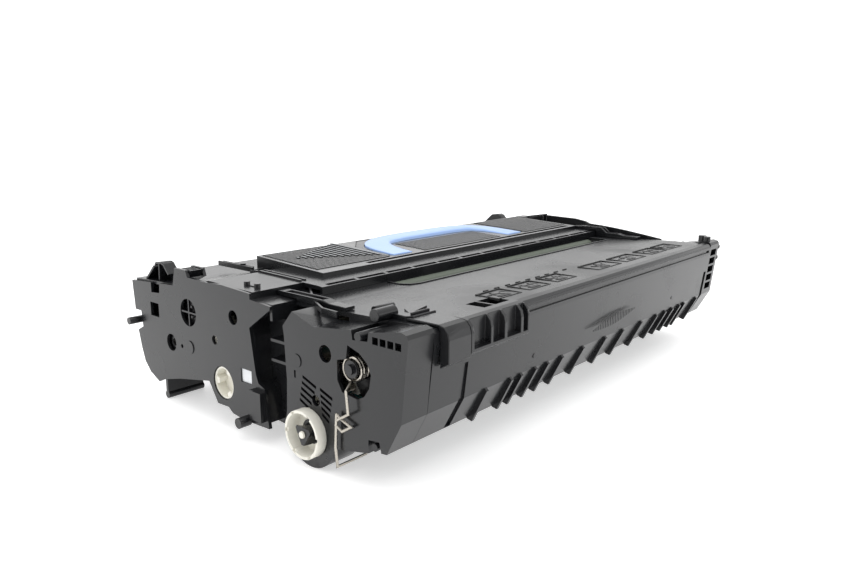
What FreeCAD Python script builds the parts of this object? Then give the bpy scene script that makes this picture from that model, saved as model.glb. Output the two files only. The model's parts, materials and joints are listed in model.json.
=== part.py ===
"""Toner cartridge of a wide laser printer: a toner hopper joined to a drum unit.

The model is laid out in a datum frame: x runs along the cartridge from the outer face of
the near end plates, y from the front wall side towards the hopper, z up from the surface
that the cartridge stands on. Each sub-part is then placed so that the middle of the whole
is at the origin, with its lowest points at z = 0. Millimetres.
"""
import FreeCAD
import Part
import Sketcher
import math
import os
from types import SimpleNamespace

Vector = FreeCAD.Vector

# Driving dimensions
SIZES = {
    "span": 470.0,               # outer face of the near plates to outer face of the far plates
    "middle_x": 232.5,           # middle of the whole cartridge along x
    "middle_y": 83.25,           # middle of the whole cartridge along y
    "wall": 2.5,                 # moulded wall
    "gap": 0.3,                  # running gap between neighbours
    "hopper_cover_depth": 16.0,
    "roof_depth": 46.0,          # how far the near cover's roof reaches over the hopper
    "hopper_rear": 236.0,
    "hopper_rear_top": 96.0,
    "hopper_front": 57.0,
    "deck_top": 106.0,
    "deck_crest": 130.0,         # y of the highest line of the deck
    "deck_knee": 176.0,          # y where the rear slope ends
    "tub_top": 88.0,
    "tub_front": 76.0,
    "lip_front": 58.0,           # y of the developer opening
    "drum_cover_depth": 22.0,
    "drum_front": 66.0,          # distance of the front wall ahead of the datum
    "drum_top": 102.0,
    "box_top": 92.0,
    "box_start": 22.2,
    "chamfer_top": 50.5,
    "chamfer_low": 29.0,
    "chamfer_inset": 17.0,
    "axis_y": 19.5,              # drum axis
    "axis_z": 24.0,
    "drum_radius": 15.0,
    "drum_start": 34.0,
    "nose_radius": 24.0,         # round lower end of the drum end plates
    "collar_radius": 16.2,
    "collar_bore": 14.2,
    "collar_stand": 7.5,
    "sleeve_radius": 10.0,
    "mesh_slack": 0.1,           # extra distance between two gear axes
    "gear_module": 1.27,
    "drum_teeth": 25.0,
    "sleeve_teeth": 15.0,
    "charge_radius": 6.0,
    "shaft_radius": 3.0,
    "slot_start": 110.0,
    "slot_length": 312.0,
    "slot_front": 34.0,
    "lid_start": 67.0,
    "lid_length": 369.0,
    "lid_front": 80.0,
    "lid_depth": 81.0,
    "lid_low": 110.0,
    "lid_high": 114.0,
    "handle_width": 190.0,
    "handle_arm": 22.0,
    "handle_front": 93.0,
    "handle_rear": 158.0,
    "handle_under": 108.1,
    "handle_pin_radius": 1.6,
    "pin_radius": 1.6,           # steel pins of the shutter
    "grip_cap_start": 27.0,
    "comb_start": 48.0,
    "comb_length": 62.0,
    "comb_stand": 7.0,           # how far the grips stand out of the front wall
    "grip_low": 82.0,
    "train_y": 115.0,            # axis of the stirrer drive gear
    "train_z": 34.5,
    "train_teeth": 20.0,
    "idler_teeth": 29.0,
    "front_stirrer_teeth": 13.0,
    "rear_stirrer_teeth": 32.0,
    "gear_width": 7.0,
    "shutter_clearance": 3.0,
    "shutter_thickness": 2.0,
    "wire_radius": 0.9,
    "spring_y": -17.8,
    "spring_z": 73.5,
    "spring_radius": 7.4,
    "spring_turns": 9.0,
    "spring_pitch": 1.9,
    "foot_radius": 3.0,
    "foot_y": 203.0,
}

RIB_PLACES = [79, 107, 119, 137, 153, 173, 204, 240, 271, 306, 337, 356, 372, 389, 400, 430]

doc = FreeCAD.newDocument("TonerCartridge")
sheet = doc.addObject("Spreadsheet::Sheet", "Sizes")
for row, (name, number) in enumerate(SIZES.items(), start=1):
    sheet.set(f"A{row}", name)
    sheet.set(f"B{row}", str(number))
    sheet.setAlias(f"B{row}", name)
doc.recompute()


class Size:
    """A number together with the sheet formula that gives it."""

    def __init__(self, value, formula):
        self.value = float(value)
        self.formula = formula

    def __add__(self, other):
        other = as_size(other)
        return Size(self.value + other.value, f"({self.formula} + {other.formula})")

    def __sub__(self, other):
        other = as_size(other)
        return Size(self.value - other.value, f"({self.formula} - {other.formula})")

    def __mul__(self, other):
        other = as_size(other)
        return Size(self.value * other.value, f"({self.formula} * {other.formula})")

    def __truediv__(self, other):
        other = as_size(other)
        return Size(self.value / other.value, f"({self.formula} / {other.formula})")

    def __radd__(self, other):
        return as_size(other) + self

    def __rsub__(self, other):
        return as_size(other) - self

    def __rmul__(self, other):
        return as_size(other) * self

    def __neg__(self):
        return Size(-self.value, f"(-{self.formula})")


def as_size(thing):
    """A plain number as a Size of its own."""
    if isinstance(thing, Size):
        return thing
    return Size(thing, f"({float(thing):.6f})")


d = SimpleNamespace(**{name: Size(sheet.get(name), f"Sizes.{name}") for name in SIZES})

sub_parts = []


def bind(thing, path, size):
    """Ties one property of a document object to its sheet formula."""
    thing.setExpression(path, as_size(size).formula)


def place(thing, at, turn=None):
    """Puts a sub-part's own origin at a point of the datum frame, then into the part's frame."""
    turn = turn or FreeCAD.Rotation()
    thing.Placement = FreeCAD.Placement(Vector(), turn)
    bind(thing, ".Placement.Base.x", at[0] - d.middle_x)
    bind(thing, ".Placement.Base.y", at[1] - d.middle_y)
    bind(thing, ".Placement.Base.z", as_size(at[2]))


def new_body(label, at=(0, 0, 0), turn=None):
    """An empty body for one sub-part, whose own origin is at a point of the datum frame."""
    body = doc.addObject("PartDesign::Body", label)
    body.Label = label
    body.AllowCompound = True
    place(body, [as_size(value) for value in at], turn)
    sub_parts.append(body)
    return body


def circle(u, v, radius):
    """A round outline for a sketch."""
    return ("circle", as_size(u), as_size(v), as_size(radius))


def box_outline(u0, v0, u1, v1):
    """A rectangle for a sketch, from two opposite corners."""
    return [(u0, v0), (u1, v0), (u1, v1), (u0, v1)]


def draw(body, plane, level, outlines):
    """A sketch on an origin plane of the body, lifted by level along the plane's normal.

    Each corner is tied to its size. A crowded sketch, such as a gear's, is drawn untied from
    the same sizes, because the sketch solver is slow on hundreds of ties."""
    sketch = body.newObject("Sketcher::SketchObject", f"{body.Name}_sketch")
    for feature in body.Origin.OriginFeatures:
        if feature.Role == f"{plane}_Plane":
            sketch.AttachmentSupport = [(feature, "")]
    sketch.MapMode = "FlatFace"
    bind(sketch, ".AttachmentOffset.Base.z", level)
    geometry = []
    constraints = []
    ties = []
    crowded = sum(len(outline) for outline in outlines) > 36

    def tie(kind, size, *where):
        ties.append((len(constraints), size))
        constraints.append(Sketcher.Constraint(kind, *where, size.value))

    for outline in outlines:
        first = len(geometry)
        if outline[0] == "circle":
            centre = Vector(outline[1].value, outline[2].value, 0)
            geometry.append(Part.Circle(centre, Vector(0, 0, 1), outline[3].value))
            tie("DistanceX", outline[1], -1, 1, first, 3)
            tie("DistanceY", outline[2], -1, 1, first, 3)
            tie("Radius", outline[3], first)
            continue
        points = [(as_size(u), as_size(v)) for u, v in outline]
        count = len(points)
        for index in range(count):
            start = points[index]
            end = points[(index + 1) % count]
            geometry.append(Part.LineSegment(Vector(start[0].value, start[1].value, 0),
                                             Vector(end[0].value, end[1].value, 0)))
        if crowded:
            continue
        for index in range(count):
            after = first + (index + 1) % count
            constraints.append(Sketcher.Constraint("Coincident", first + index, 2, after, 1))
        for index, (u, v) in enumerate(points):
            tie("DistanceX", u, -1, 1, first + index, 1)
            tie("DistanceY", v, -1, 1, first + index, 1)
    sketch.addGeometry(geometry, False)
    sketch.addConstraint(constraints)
    for index, size in ties:
        sketch.setExpression(f"Constraints[{index}]", size.formula)
    return sketch


def add(body, plane, level, length, *outlines, refine=True):
    """Adds material over the outlines, from level onwards along the plane's normal."""
    pad = body.newObject("PartDesign::Pad", f"{body.Name}_pad")
    pad.Profile = draw(body, plane, level, outlines)
    bind(pad, "Length", length)
    pad.Refine = refine
    body.Tip = pad
    return pad


def cut(body, plane, level, length, *outlines):
    """Takes material away over the outlines, from level onwards along the plane's normal."""
    pocket = body.newObject("PartDesign::Pocket", f"{body.Name}_pocket")
    pocket.Profile = draw(body, plane, level, outlines)
    pocket.Reversed = True
    bind(pocket, "Length", length)
    body.Tip = pocket
    return pocket


def row(body, feature, axis, length, count):
    """Repeats a feature along an origin axis, first copy to last copy over the length."""
    pattern = body.newObject("PartDesign::LinearPattern", f"{body.Name}_row")
    pattern.Originals = [feature]
    for line in body.Origin.OriginFeatures:
        if line.Role == f"{axis}_Axis":
            pattern.Direction = (line, [""])
    pattern.Occurrences = count
    bind(pattern, "Length", length)
    body.Tip = pattern
    return pattern


def ring(body, feature, axis, count):
    """Repeats a feature all round an origin axis."""
    pattern = body.newObject("PartDesign::PolarPattern", f"{body.Name}_ring")
    pattern.Originals = [feature]
    for line in body.Origin.OriginFeatures:
        if line.Role == f"{axis}_Axis":
            pattern.Axis = (line, [""])
    pattern.Angle = 360
    pattern.Occurrences = count
    body.Tip = pattern
    return pattern


def soften(body, radius, *places, chamfer=False):
    """Rounds or chamfers each edge that runs through one of the places."""
    doc.recompute()
    base = body.Tip
    names = []
    for at in places:
        point = Part.Vertex(Vector(*[as_size(value).value for value in at]))
        for number, edge in enumerate(base.Shape.Edges, start=1):
            if edge.distToShape(point)[0] < 0.01 and f"Edge{number}" not in names:
                names.append(f"Edge{number}")
    kind = "PartDesign::Chamfer" if chamfer else "PartDesign::Fillet"
    feature = body.newObject(kind, f"{body.Name}_edge")
    feature.Base = (base, names)
    bind(feature, "Size" if chamfer else "Radius", radius)
    body.Tip = feature
    return feature


# Places that several sub-parts share
far_face = d.span
tub_start = d.hopper_cover_depth
tub_end = d.span - d.hopper_cover_depth
tub_length = tub_end - tub_start
box_end = d.span - d.box_start
box_length = box_end - d.box_start
drum_length = d.span - 2 * d.drum_start
drive_floor = 9.6
deck_rise = 1.5
crest_top = d.deck_top + deck_rise
knee_top = d.hopper_rear_top + 2.5
front_y = -d.drum_front
chamfer_front = front_y + 5.3
chamfer_back = front_y + d.chamfer_inset
drum_pitch = d.gear_module * d.drum_teeth / 2
sleeve_pitch = d.gear_module * d.sleeve_teeth / 2
sleeve_reach = drum_pitch + sleeve_pitch + d.mesh_slack
sleeve_y = d.axis_y + sleeve_reach
sleeve_z = d.axis_z
shutter_inner = d.drum_radius + d.shutter_clearance
shutter_outer = shutter_inner + d.shutter_thickness
pivot_y = -9.0
pivot_z = 24.5
charge_angle = math.radians(95)
charge_reach = d.drum_radius + d.charge_radius + 0.1
charge_y = d.axis_y + charge_reach * math.cos(charge_angle)
charge_z = d.axis_z + charge_reach * math.sin(charge_angle)


def mesh_turn(direction, teeth, other_teeth, other_turn):
    """Turn in degrees that puts a gear in mesh with another one.

    direction is the angle of the line from the other gear to this one."""
    offset = ((other_turn - direction) * other_teeth / 360.0) % 1.0
    return direction + 180.0 + 360.0 / teeth * (-offset - 0.5)


train = [
    ("drive_gear", None, 0.0, d.train_teeth),
    ("front_stirrer_gear", "drive_gear", 160.0, d.front_stirrer_teeth),
    ("low_idler_gear", "drive_gear", 75.4, d.idler_teeth),
    ("high_idler_gear", "low_idler_gear", 24.4, d.idler_teeth),
    ("rear_stirrer_gear", "high_idler_gear", -46.9, d.rear_stirrer_teeth),
]
gear_places = {}
gear_turns = {}
for label, driver, direction, teeth in train:
    if driver is None:
        gear_places[label] = (d.train_y, d.train_z)
        gear_turns[label] = 0.0
        continue
    driver_teeth = next(item[3] for item in train if item[0] == driver)
    reach = d.gear_module * (teeth + driver_teeth) / 2 + d.mesh_slack
    angle = math.radians(direction)
    at = gear_places[driver]
    gear_places[label] = (at[0] + reach * math.cos(angle), at[1] + reach * math.sin(angle))
    gear_turns[label] = mesh_turn(direction, teeth.value, driver_teeth.value, gear_turns[driver])


def deck_section(front_top, back_of_front):
    """Section of the hopper's upper skin, with the two legs that stand on the tub."""
    leg = d.tub_front + d.wall
    return [
        (d.hopper_front, d.tub_top + 2),
        (d.hopper_front, front_top),
        (back_of_front, front_top + 0.6),
        (back_of_front, d.deck_top + 0.5),
        (d.deck_crest, crest_top),
        (d.deck_knee, knee_top),
        (d.hopper_rear, d.hopper_rear_top),
        (d.hopper_rear, d.tub_top),
        (d.hopper_rear - d.wall, d.tub_top),
        (d.hopper_rear - d.wall, d.hopper_rear_top - d.wall),
        (d.deck_knee - 0.4, knee_top - d.wall),
        (d.deck_crest - 0.3, crest_top - d.wall),
        (leg, d.deck_top - d.wall),
        (leg, d.tub_top),
        (d.tub_front, d.tub_top),
        (d.tub_front, front_top - d.wall),
        (d.hopper_front + d.wall, front_top - d.wall),
        (d.hopper_front + d.wall, d.tub_top + 2),
    ]


def hopper_tub():
    """Lower shell of the toner hopper: two skins between two end walls."""
    body = new_body("hopper_tub")
    wall = d.wall
    rear_foot = d.hopper_rear - 30
    trough = d.lip_front + 68
    outer = [
        (d.hopper_rear, d.tub_top), (d.hopper_rear - 5, 42), (d.hopper_rear - 15, 25),
        (rear_foot, 17), (trough + 10, 31), (trough, 18.5), (trough - 26, 14.5),
        (d.lip_front, 11),
    ]
    inner = [
        (d.lip_front, wall + 11), (trough - 26.3, wall + 14.5), (trough - 1.2, wall + 18.7),
        (trough + 9, wall + 31.2), (rear_foot - 0.3, wall + 17), (d.hopper_rear - 16.8, wall + 24.4),
        (d.hopper_rear - 5 - wall, 42.6), (d.hopper_rear - wall, d.tub_top),
    ]
    front = [
        (d.tub_front, d.tub_top), (d.tub_front - 2, 50), (d.lip_front + 2, 44),
        (d.lip_front + 2, 44 - wall), (d.tub_front, 50 - wall), (d.tub_front + wall, d.tub_top),
    ]
    end_wall = outer + [(d.lip_front, 36), (d.lip_front + 2, 44), (d.tub_front - 2, 50),
                        (d.tub_front, d.tub_top)]
    add(body, "YZ", tub_start, wall, end_wall)
    add(body, "YZ", tub_start + wall, tub_length - 2 * wall, outer + inner)
    add(body, "YZ", tub_start + wall, tub_length - 2 * wall, front)
    add(body, "YZ", tub_end - wall, wall, end_wall)
    arm = [(46, d.tub_top), (46, 60), (d.lip_front, 36), (82, 36), (82, d.tub_top)]
    add(body, "YZ", tub_start, wall, arm)
    add(body, "YZ", tub_end - wall, wall, arm)
    for start in (tub_start - 9, tub_end):
        add(body, "YZ", start, 9, box_outline(48, 74, 66, 76), box_outline(50, 60, 66, 62))
    for gear in ("front_stirrer_gear", "rear_stirrer_gear"):
        cut(body, "YZ", tub_start - 1, tub_length + 2,
            circle(*gear_places[gear], d.shaft_radius + 0.06))
    for gear, start in (("drive_gear", drive_floor + 0.2), ("low_idler_gear", 5.2),
                        ("high_idler_gear", 5.2)):
        add(body, "YZ", start, tub_start - start, circle(*gear_places[gear], d.shaft_radius))
    cut(body, "YZ", tub_end - wall - 1, wall + 2, circle(150, 62, 14))
    return body


def hopper_top_cover():
    """Upper skin of the hopper with the louvred strip along its front edge."""
    body = new_body("hopper_top_cover")
    length = tub_end - d.roof_depth
    add(body, "YZ", d.roof_depth, length, deck_section(d.deck_top, d.hopper_front + 7))
    rail = [(82, d.deck_top + 0.2), (d.deck_crest, crest_top - 0.4), (142, d.deck_top - 1),
            (142, d.deck_top + 0.6), (d.deck_crest, crest_top + 1.2), (82, d.deck_top + 1.8)]
    add(body, "YZ", d.roof_depth + 0.4, 2, rail)
    add(body, "YZ", d.roof_depth + 5, 1.5, rail)
    louvre = cut(body, "XY", d.deck_top - 1.5, 4,
                 box_outline(d.roof_depth + 7, d.hopper_front + 1.5,
                             d.roof_depth + 35, d.hopper_front + 5.5))
    row(body, louvre, "X", length - 40, 13)
    return body


def lid_block():
    """Raised ribbed block on the deck, with the bed that the handle lies in."""
    body = new_body("lid_block")
    front = d.lid_front
    rear = d.lid_front + d.lid_depth
    slope = (crest_top - knee_top) / (d.deck_knee - d.deck_crest)
    rear_low = crest_top - slope * (rear - d.deck_crest)
    front_low = d.deck_top + 0.75
    add(body, "YZ", d.lid_start, d.lid_length,
        [(front, front_low), (d.deck_crest, crest_top), (rear, rear_low), (rear, d.lid_high),
         (front, d.lid_low)])
    middle = d.lid_start + d.lid_length / 2
    half = d.handle_width / 2 + 1
    island = half - d.handle_arm - 2
    bed_front = d.handle_front - 0.6
    bed_rear = d.handle_rear + 1
    bed_inner = bed_rear - d.handle_arm - 2
    bed = [
        (middle - half, bed_front), (middle - island, bed_front),
        (middle - island, bed_inner - 14), (middle - island + 14, bed_inner),
        (middle + island - 14, bed_inner), (middle + island, bed_inner - 14),
        (middle + island, bed_front), (middle + half, bed_front),
        (middle + half, bed_rear - 20), (middle + half - 20, bed_rear),
        (middle - half + 20, bed_rear), (middle - half, bed_rear - 20),
    ]
    cut(body, "XY", 90, 40, bed)
    for side in (-1, 1):
        start = middle - half - 4 if side < 0 else middle + half
        cut(body, "YZ", start, 4,
            circle(d.handle_front + 2.4, d.handle_under + 2.4, d.handle_pin_radius + 0.08))
    cut(body, "YZ", d.lid_start + 51, d.lid_length - 60, box_outline(front + 3.5, 107.6, front + 8, 120))
    for step in range(12):
        reach = 1.5 + 2.6 * step
        add(body, "YZ", d.lid_start + 17 + 5.6 * step, 2.4,
            lid_rib(131 - reach, 131 + reach, 1.1), refine=False)
    pad = middle - half - 5 - d.lid_start - 4
    bars = [lid_rib(y, y + 1.4, 0.6) for y in lid_rib_places(22)]
    add(body, "YZ", d.lid_start + 4, pad, *bars, refine=False)
    add(body, "YZ", middle + half + 5, pad, *bars, refine=False)
    bars = [lid_rib(y, y + 1.4, 0.5) for y in lid_rib_places(12)]
    add(body, "YZ", middle - island + 15, 2 * island - 30, *bars, refine=False)
    return body


def lid_top(y):
    """Height of the block's sloping top."""
    return d.lid_low + (d.lid_high - d.lid_low) * (y - d.lid_front) / d.lid_depth


def lid_rib_places(count):
    """Where the fine ribs of the block stand, from its front."""
    return [d.lid_front + 12 + 3.1 * index for index in range(count)]


def lid_rib(y0, y1, height):
    """Section of a rib on the block's top."""
    sunk = 0.4
    return [(y0, lid_top(y0) - sunk), (y1, lid_top(y1) - sunk), (y1, lid_top(y1) + height),
            (y0, lid_top(y0) + height)]


def carry_handle():
    """U-shaped handle that lies in the block and swings up about the ends of its arms."""
    middle = d.lid_start + d.lid_length / 2
    pivot_y = d.handle_front + 2.4
    pivot_z = d.handle_under + 2.4
    body = new_body("carry_handle", (middle, pivot_y, pivot_z))
    half = d.handle_width / 2
    front = d.handle_front - pivot_y
    rear = d.handle_rear - pivot_y
    inner = half - d.handle_arm
    bar = rear - d.handle_arm
    under = d.handle_under - pivot_z
    add(body, "YZ", -half, d.handle_width,
        [(0, under), (rear, under), (rear, 7.6), (6, 3.4), (0, 2.4), (front, 1), (front, -1)])
    cut(body, "XY", under - 1, 20,
        [(-inner, front - 1), (inner, front - 1), (inner, bar - 14), (inner - 14, bar),
         (14 - inner, bar), (-inner, bar - 14)])
    cut(body, "XY", under - 1, 20,
        [(-half, rear - 19), (-half, rear), (19 - half, rear)],
        [(half, rear - 19), (half - 19, rear), (half, rear)])
    for side in (-1, 1):
        start = -half - 3 if side < 0 else half
        add(body, "YZ", start, 3, circle(0, 0, d.handle_pin_radius))
    return body


def foot(body, start, web_start):
    """Round foot rail on a web under an end cover."""
    low = d.foot_radius
    add(body, "YZ", start, 32, circle(d.foot_y, low, low))
    add(body, "YZ", start, 32, box_outline(d.foot_y - 1.5, low, d.foot_y + 1.5, 17))
    add(body, "YZ", web_start, 12, box_outline(d.foot_y - 1.5, low, d.foot_y + 1.5, 18.4))


def hopper_end_cover_near():
    """Moulded cover over the hopper's gears, with its roof, windows and locating pins."""
    body = new_body("hopper_end_cover_near")
    rear = d.hopper_rear
    outline = [
        (rear + 3, 94), (rear - 27, 96), (rear - 27, 88), (rear - 39, 89), (rear - 40, 97),
        (rear - 60, 98), (rear - 64, 112), (rear - 79, 112), (rear - 81, 107),
        (d.deck_crest - 1, 106.5), (d.deck_crest - 18, 107.5), (78, 106), (78, 102),
        (d.hopper_front - 1, 100.5), (d.hopper_front - 0.5, 98), (80, 82), (79, 76), (75, 50),
        (72.5, 44), (66, 41.5), (63.5, 20), (62.5, 13.5), (92, 12.5), (105, 14), (110, 17.5),
        (123.5, 17), (133.5, 31.8), (175, 24), (199, 18), (rear - 29, 14.3), (rear - 16, 20),
        (rear - 8.5, 27.5), (rear - 4.5, 38.5), (rear - 1, 53), (rear - 11.5, 58),
        (rear - 9.5, 70), (rear + 1, 70),
    ]
    add(body, "YZ", 0, d.wall, outline)
    rim = [
        (rear - 1, 88), (rear - 6, 41), (rear - 16, 24), (rear - 30, 16.5), (175, 26.5),
        (133, 32.6), (123.2, 18.2), (104, 16.5), (92, 15), (66, 16), (69, 40), (76, 43), (78, 76),
        (82, 88),
    ]
    inner = [
        (rear - 3.5, 88), (rear - 8.5, 42), (rear - 18, 26.3), (rear - 30.5, 19), (175, 29),
        (131.8, 33.4), (122.6, 19.6), (103.5, 19), (92, 17.5), (68.7, 18.4), (71.3, 38.3),
        (78.2, 41.3), (80.5, 75), (84.5, 88),
    ]
    add(body, "YZ", d.wall, d.hopper_cover_depth - d.wall, rim + inner[::-1])
    add(body, "YZ", d.wall, d.roof_depth - d.wall, deck_section(d.deck_top - 5, 78))
    cut(body, "YZ", -1, d.wall + 2,
        circle(d.train_y, d.train_z, 12.4),
        circle(156.5, 80, 10.5),
        circle(183.5, 51.8, 6.8),
        circle(123, 65.2, 3.4),
        circle(98.7, 86, 5.2),
        circle(168.3, 51.8, 1.6),
        box_outline(80, 41, 92.5, 51),
        box_outline(199.5, 69, 212, 80))
    add(body, "YZ", 0.5, 1.5, box_outline(146, 79.4, 168, 80.6), box_outline(155.9, 68.5, 157.1, 91.5))
    add(body, "YZ", -0.7, 0.7, circle(157, 53, 5))
    add(body, "YZ", 14, d.wall, [(rear - 60, 97), (rear - 64, 112), (rear - 79, 112), (rear - 81, 106)])
    for step in range(4):
        low = rear - 64 - 4.4 * step
        add(body, "YZ", d.wall, 11.5, [(low, 106), (low - 1.4, 106), (low - 4.4, 111.6), (low - 3, 111.6)])
    for boss_y in (88, 100):
        add(body, "XY", d.deck_top - 2, 5.5, circle(14, boss_y, 2.2))
    add(body, "XY", d.deck_top - 2, 3.4, box_outline(13.1, 88, 14.9, 100))
    add(body, "YZ", -9, 9, circle(86, 14, 3.8))
    add(body, "YZ", -7, 19, circle(rear + 0.5, 61, 3))
    add(body, "YZ", d.wall, 9.5, box_outline(rear - 5, 59.6, rear + 0.5, 62.4))
    add(body, "YZ", -4, 4, box_outline(66, 18, 79, 39))
    foot(body, 4, 4)
    cut(body, "YZ", d.wall, 11, circle(*gear_places["high_idler_gear"], 20.4))
    return body


def sensor_window():
    """Small white block that fills the square opening of the near cover."""
    body = new_body("sensor_window")
    add(body, "YZ", 1, d.wall - 1, box_outline(80, 41, 92.5, 51))
    return body


def hopper_end_cover_far():
    """Plain moulded cover over the hopper's far end."""
    body = new_body("hopper_end_cover_far")
    rear = d.hopper_rear
    outline = [
        (rear + 3, 94), (rear - 60, 98), (rear - 64, 112), (rear - 79, 112), (rear - 81, 107),
        (d.deck_crest - 1, 107), (78, 106), (d.hopper_front - 1, 104), (d.hopper_front - 0.5, 98),
        (80, 82), (75, 50), (66, 41.5), (62.5, 13.5), (92, 12.5), (110, 17.5), (123.5, 17),
        (133.5, 31.8), (175, 24), (rear - 29, 14.3), (rear - 16, 20), (rear - 8.5, 27.5),
        (rear - 4.5, 38.5), (rear + 1, 70),
    ]
    add(body, "YZ", far_face - d.hopper_cover_depth, d.hopper_cover_depth, outline)
    pocket = [
        (rear - 3.5, 88), (rear - 8.5, 42), (rear - 18, 26.3), (rear - 30.5, 19), (175, 29),
        (131.8, 33.4), (122.6, 19.6), (103.5, 19), (92, 17.5), (68.7, 18.4), (71.3, 38.3),
        (78.2, 41.3), (80.5, 75), (84.5, 88),
    ]
    cut(body, "YZ", far_face - d.hopper_cover_depth, d.hopper_cover_depth - d.wall, pocket)
    foot(body, far_face - 36, tub_end)
    return body


def waste_box():
    """Front housing of the drum unit: ribbed front wall, floor and the wall beside the drum."""
    body = new_body("waste_box")
    wall = d.wall
    outer = [
        (front_y, d.box_top), (chamfer_front, d.chamfer_top), (chamfer_back, d.chamfer_low),
        (-14, 25), (-7, 46), (2, 60), (2, d.box_top),
    ]
    inner = [
        (2 - wall, d.box_top), (2 - wall, 60.8), (-9.2, 47), (-15.8, 25 + wall + 0.3),
        (chamfer_back + 1.3, d.chamfer_low + wall), (chamfer_front + wall, d.chamfer_top + 0.8),
        (front_y + wall, d.box_top),
    ]
    add(body, "YZ", d.box_start, wall, outer)
    add(body, "YZ", d.box_start + wall, box_length - 2 * wall, outer + inner)
    add(body, "YZ", box_end - wall, wall, outer)
    for rib_x in RIB_PLACES:
        add(body, "YZ", rib_x - 1.2, 2.4, [
            (chamfer_front, d.chamfer_top + 1), (chamfer_front - 2.2, d.chamfer_top - 1),
            (chamfer_back - 2, d.chamfer_low - 3), (chamfer_back + 2, d.chamfer_low - 2),
            (chamfer_back + 3, d.chamfer_low - 0.2), (chamfer_back, d.chamfer_low)])
    add(body, "XZ", d.drum_front - 4.6, 1, circle(134, 60, 1.7), circle(368, 61, 1.7))
    for groove_x in (51, 440):
        cut(body, "YZ", groove_x, 6, [
            (front_y - 1, 75), (front_y + 3.4, 75), (chamfer_front + 1.4, d.chamfer_top + 0.5),
            (chamfer_back + 1.2, d.chamfer_low + 1.4), (chamfer_back - 2, d.chamfer_low - 2),
            (front_y, d.chamfer_top - 5)])
    add(body, "YZ", 2, d.box_start - 2, circle(d.spring_y, d.spring_z, d.spring_radius - 1.9))
    add(body, "YZ", 0, 4, circle(d.spring_y, d.spring_z, 3.2))
    add(body, "YZ", 0.5, d.box_start - 0.5, circle(-38.6, 30.2, 2.4))
    return body


def drum_top_cover():
    """Top skin of the drum unit with the laser slot at its rear edge."""
    body = new_body("drum_top_cover")
    top = d.drum_top
    rear = d.hopper_front - 0.5
    add(body, "YZ", d.box_start, box_length, [
        (front_y, d.box_top), (front_y, top - 2), (front_y + 2, top), (front_y + 7, top + 0.6),
        (-10, top - 0.5), (d.slot_front, top - 2), (rear, top - 2), (rear, top - 2 - d.wall),
        (d.slot_front, top - 2 - d.wall), (4.5, top - 1.6 - d.wall), (4.5, d.box_top - 20),
        (2.2, d.box_top - 20), (2.2, d.box_top), (2 - d.wall, d.box_top), (2 - d.wall, top - 0.8 - d.wall),
        (front_y + d.wall, top - d.wall), (front_y + d.wall, d.box_top)])
    for start in (d.box_start, box_end - d.wall):
        add(body, "YZ", start, d.wall, [
            (front_y + 1, d.box_top), (front_y + 1, top - 1.6), (-10, top - 1.6), (1.8, top - 2.2),
            (1.8, d.box_top)])
    cut(body, "XY", top - 10, 20,
        [(d.slot_start, rear + 1), (d.slot_start, rear - 14), (d.slot_start + 4, rear - 20),
         (d.slot_start + 12, d.slot_front), (d.slot_start + d.slot_length - 4, d.slot_front),
         (d.slot_start + d.slot_length, d.slot_front + 4), (d.slot_start + d.slot_length, rear + 1)])
    cut(body, "YZ", 112, 332, [(front_y - 1, 94.4), (front_y + 1.3, 94.4), (front_y + 1.3, 96.8),
                               (front_y - 1, 96.8)])
    add(body, "YZ", 112, 332, [(front_y, 98.6), (front_y - 0.9, 99.4), (front_y - 0.6, 101),
                               (front_y + 1.4, 102.9), (front_y + 6, 103.5), (front_y + 7, 102.6),
                               (front_y + 2, 101), (front_y + 0.6, 99)])
    add(body, "YZ", 35, 17, circle(-5, top - 0.4, 2.6))
    add(body, "XY", top - 1.2, 2.2, [(40, -31), (63, -25), (71, -17), (68, -14.5), (55, -14), (47, -20)])
    cut(body, "XY", top - 8, 12, box_outline(84, front_y + 9, 94, front_y + 26),
        box_outline(96, front_y + 9, 112, front_y + 26))
    return body


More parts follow.
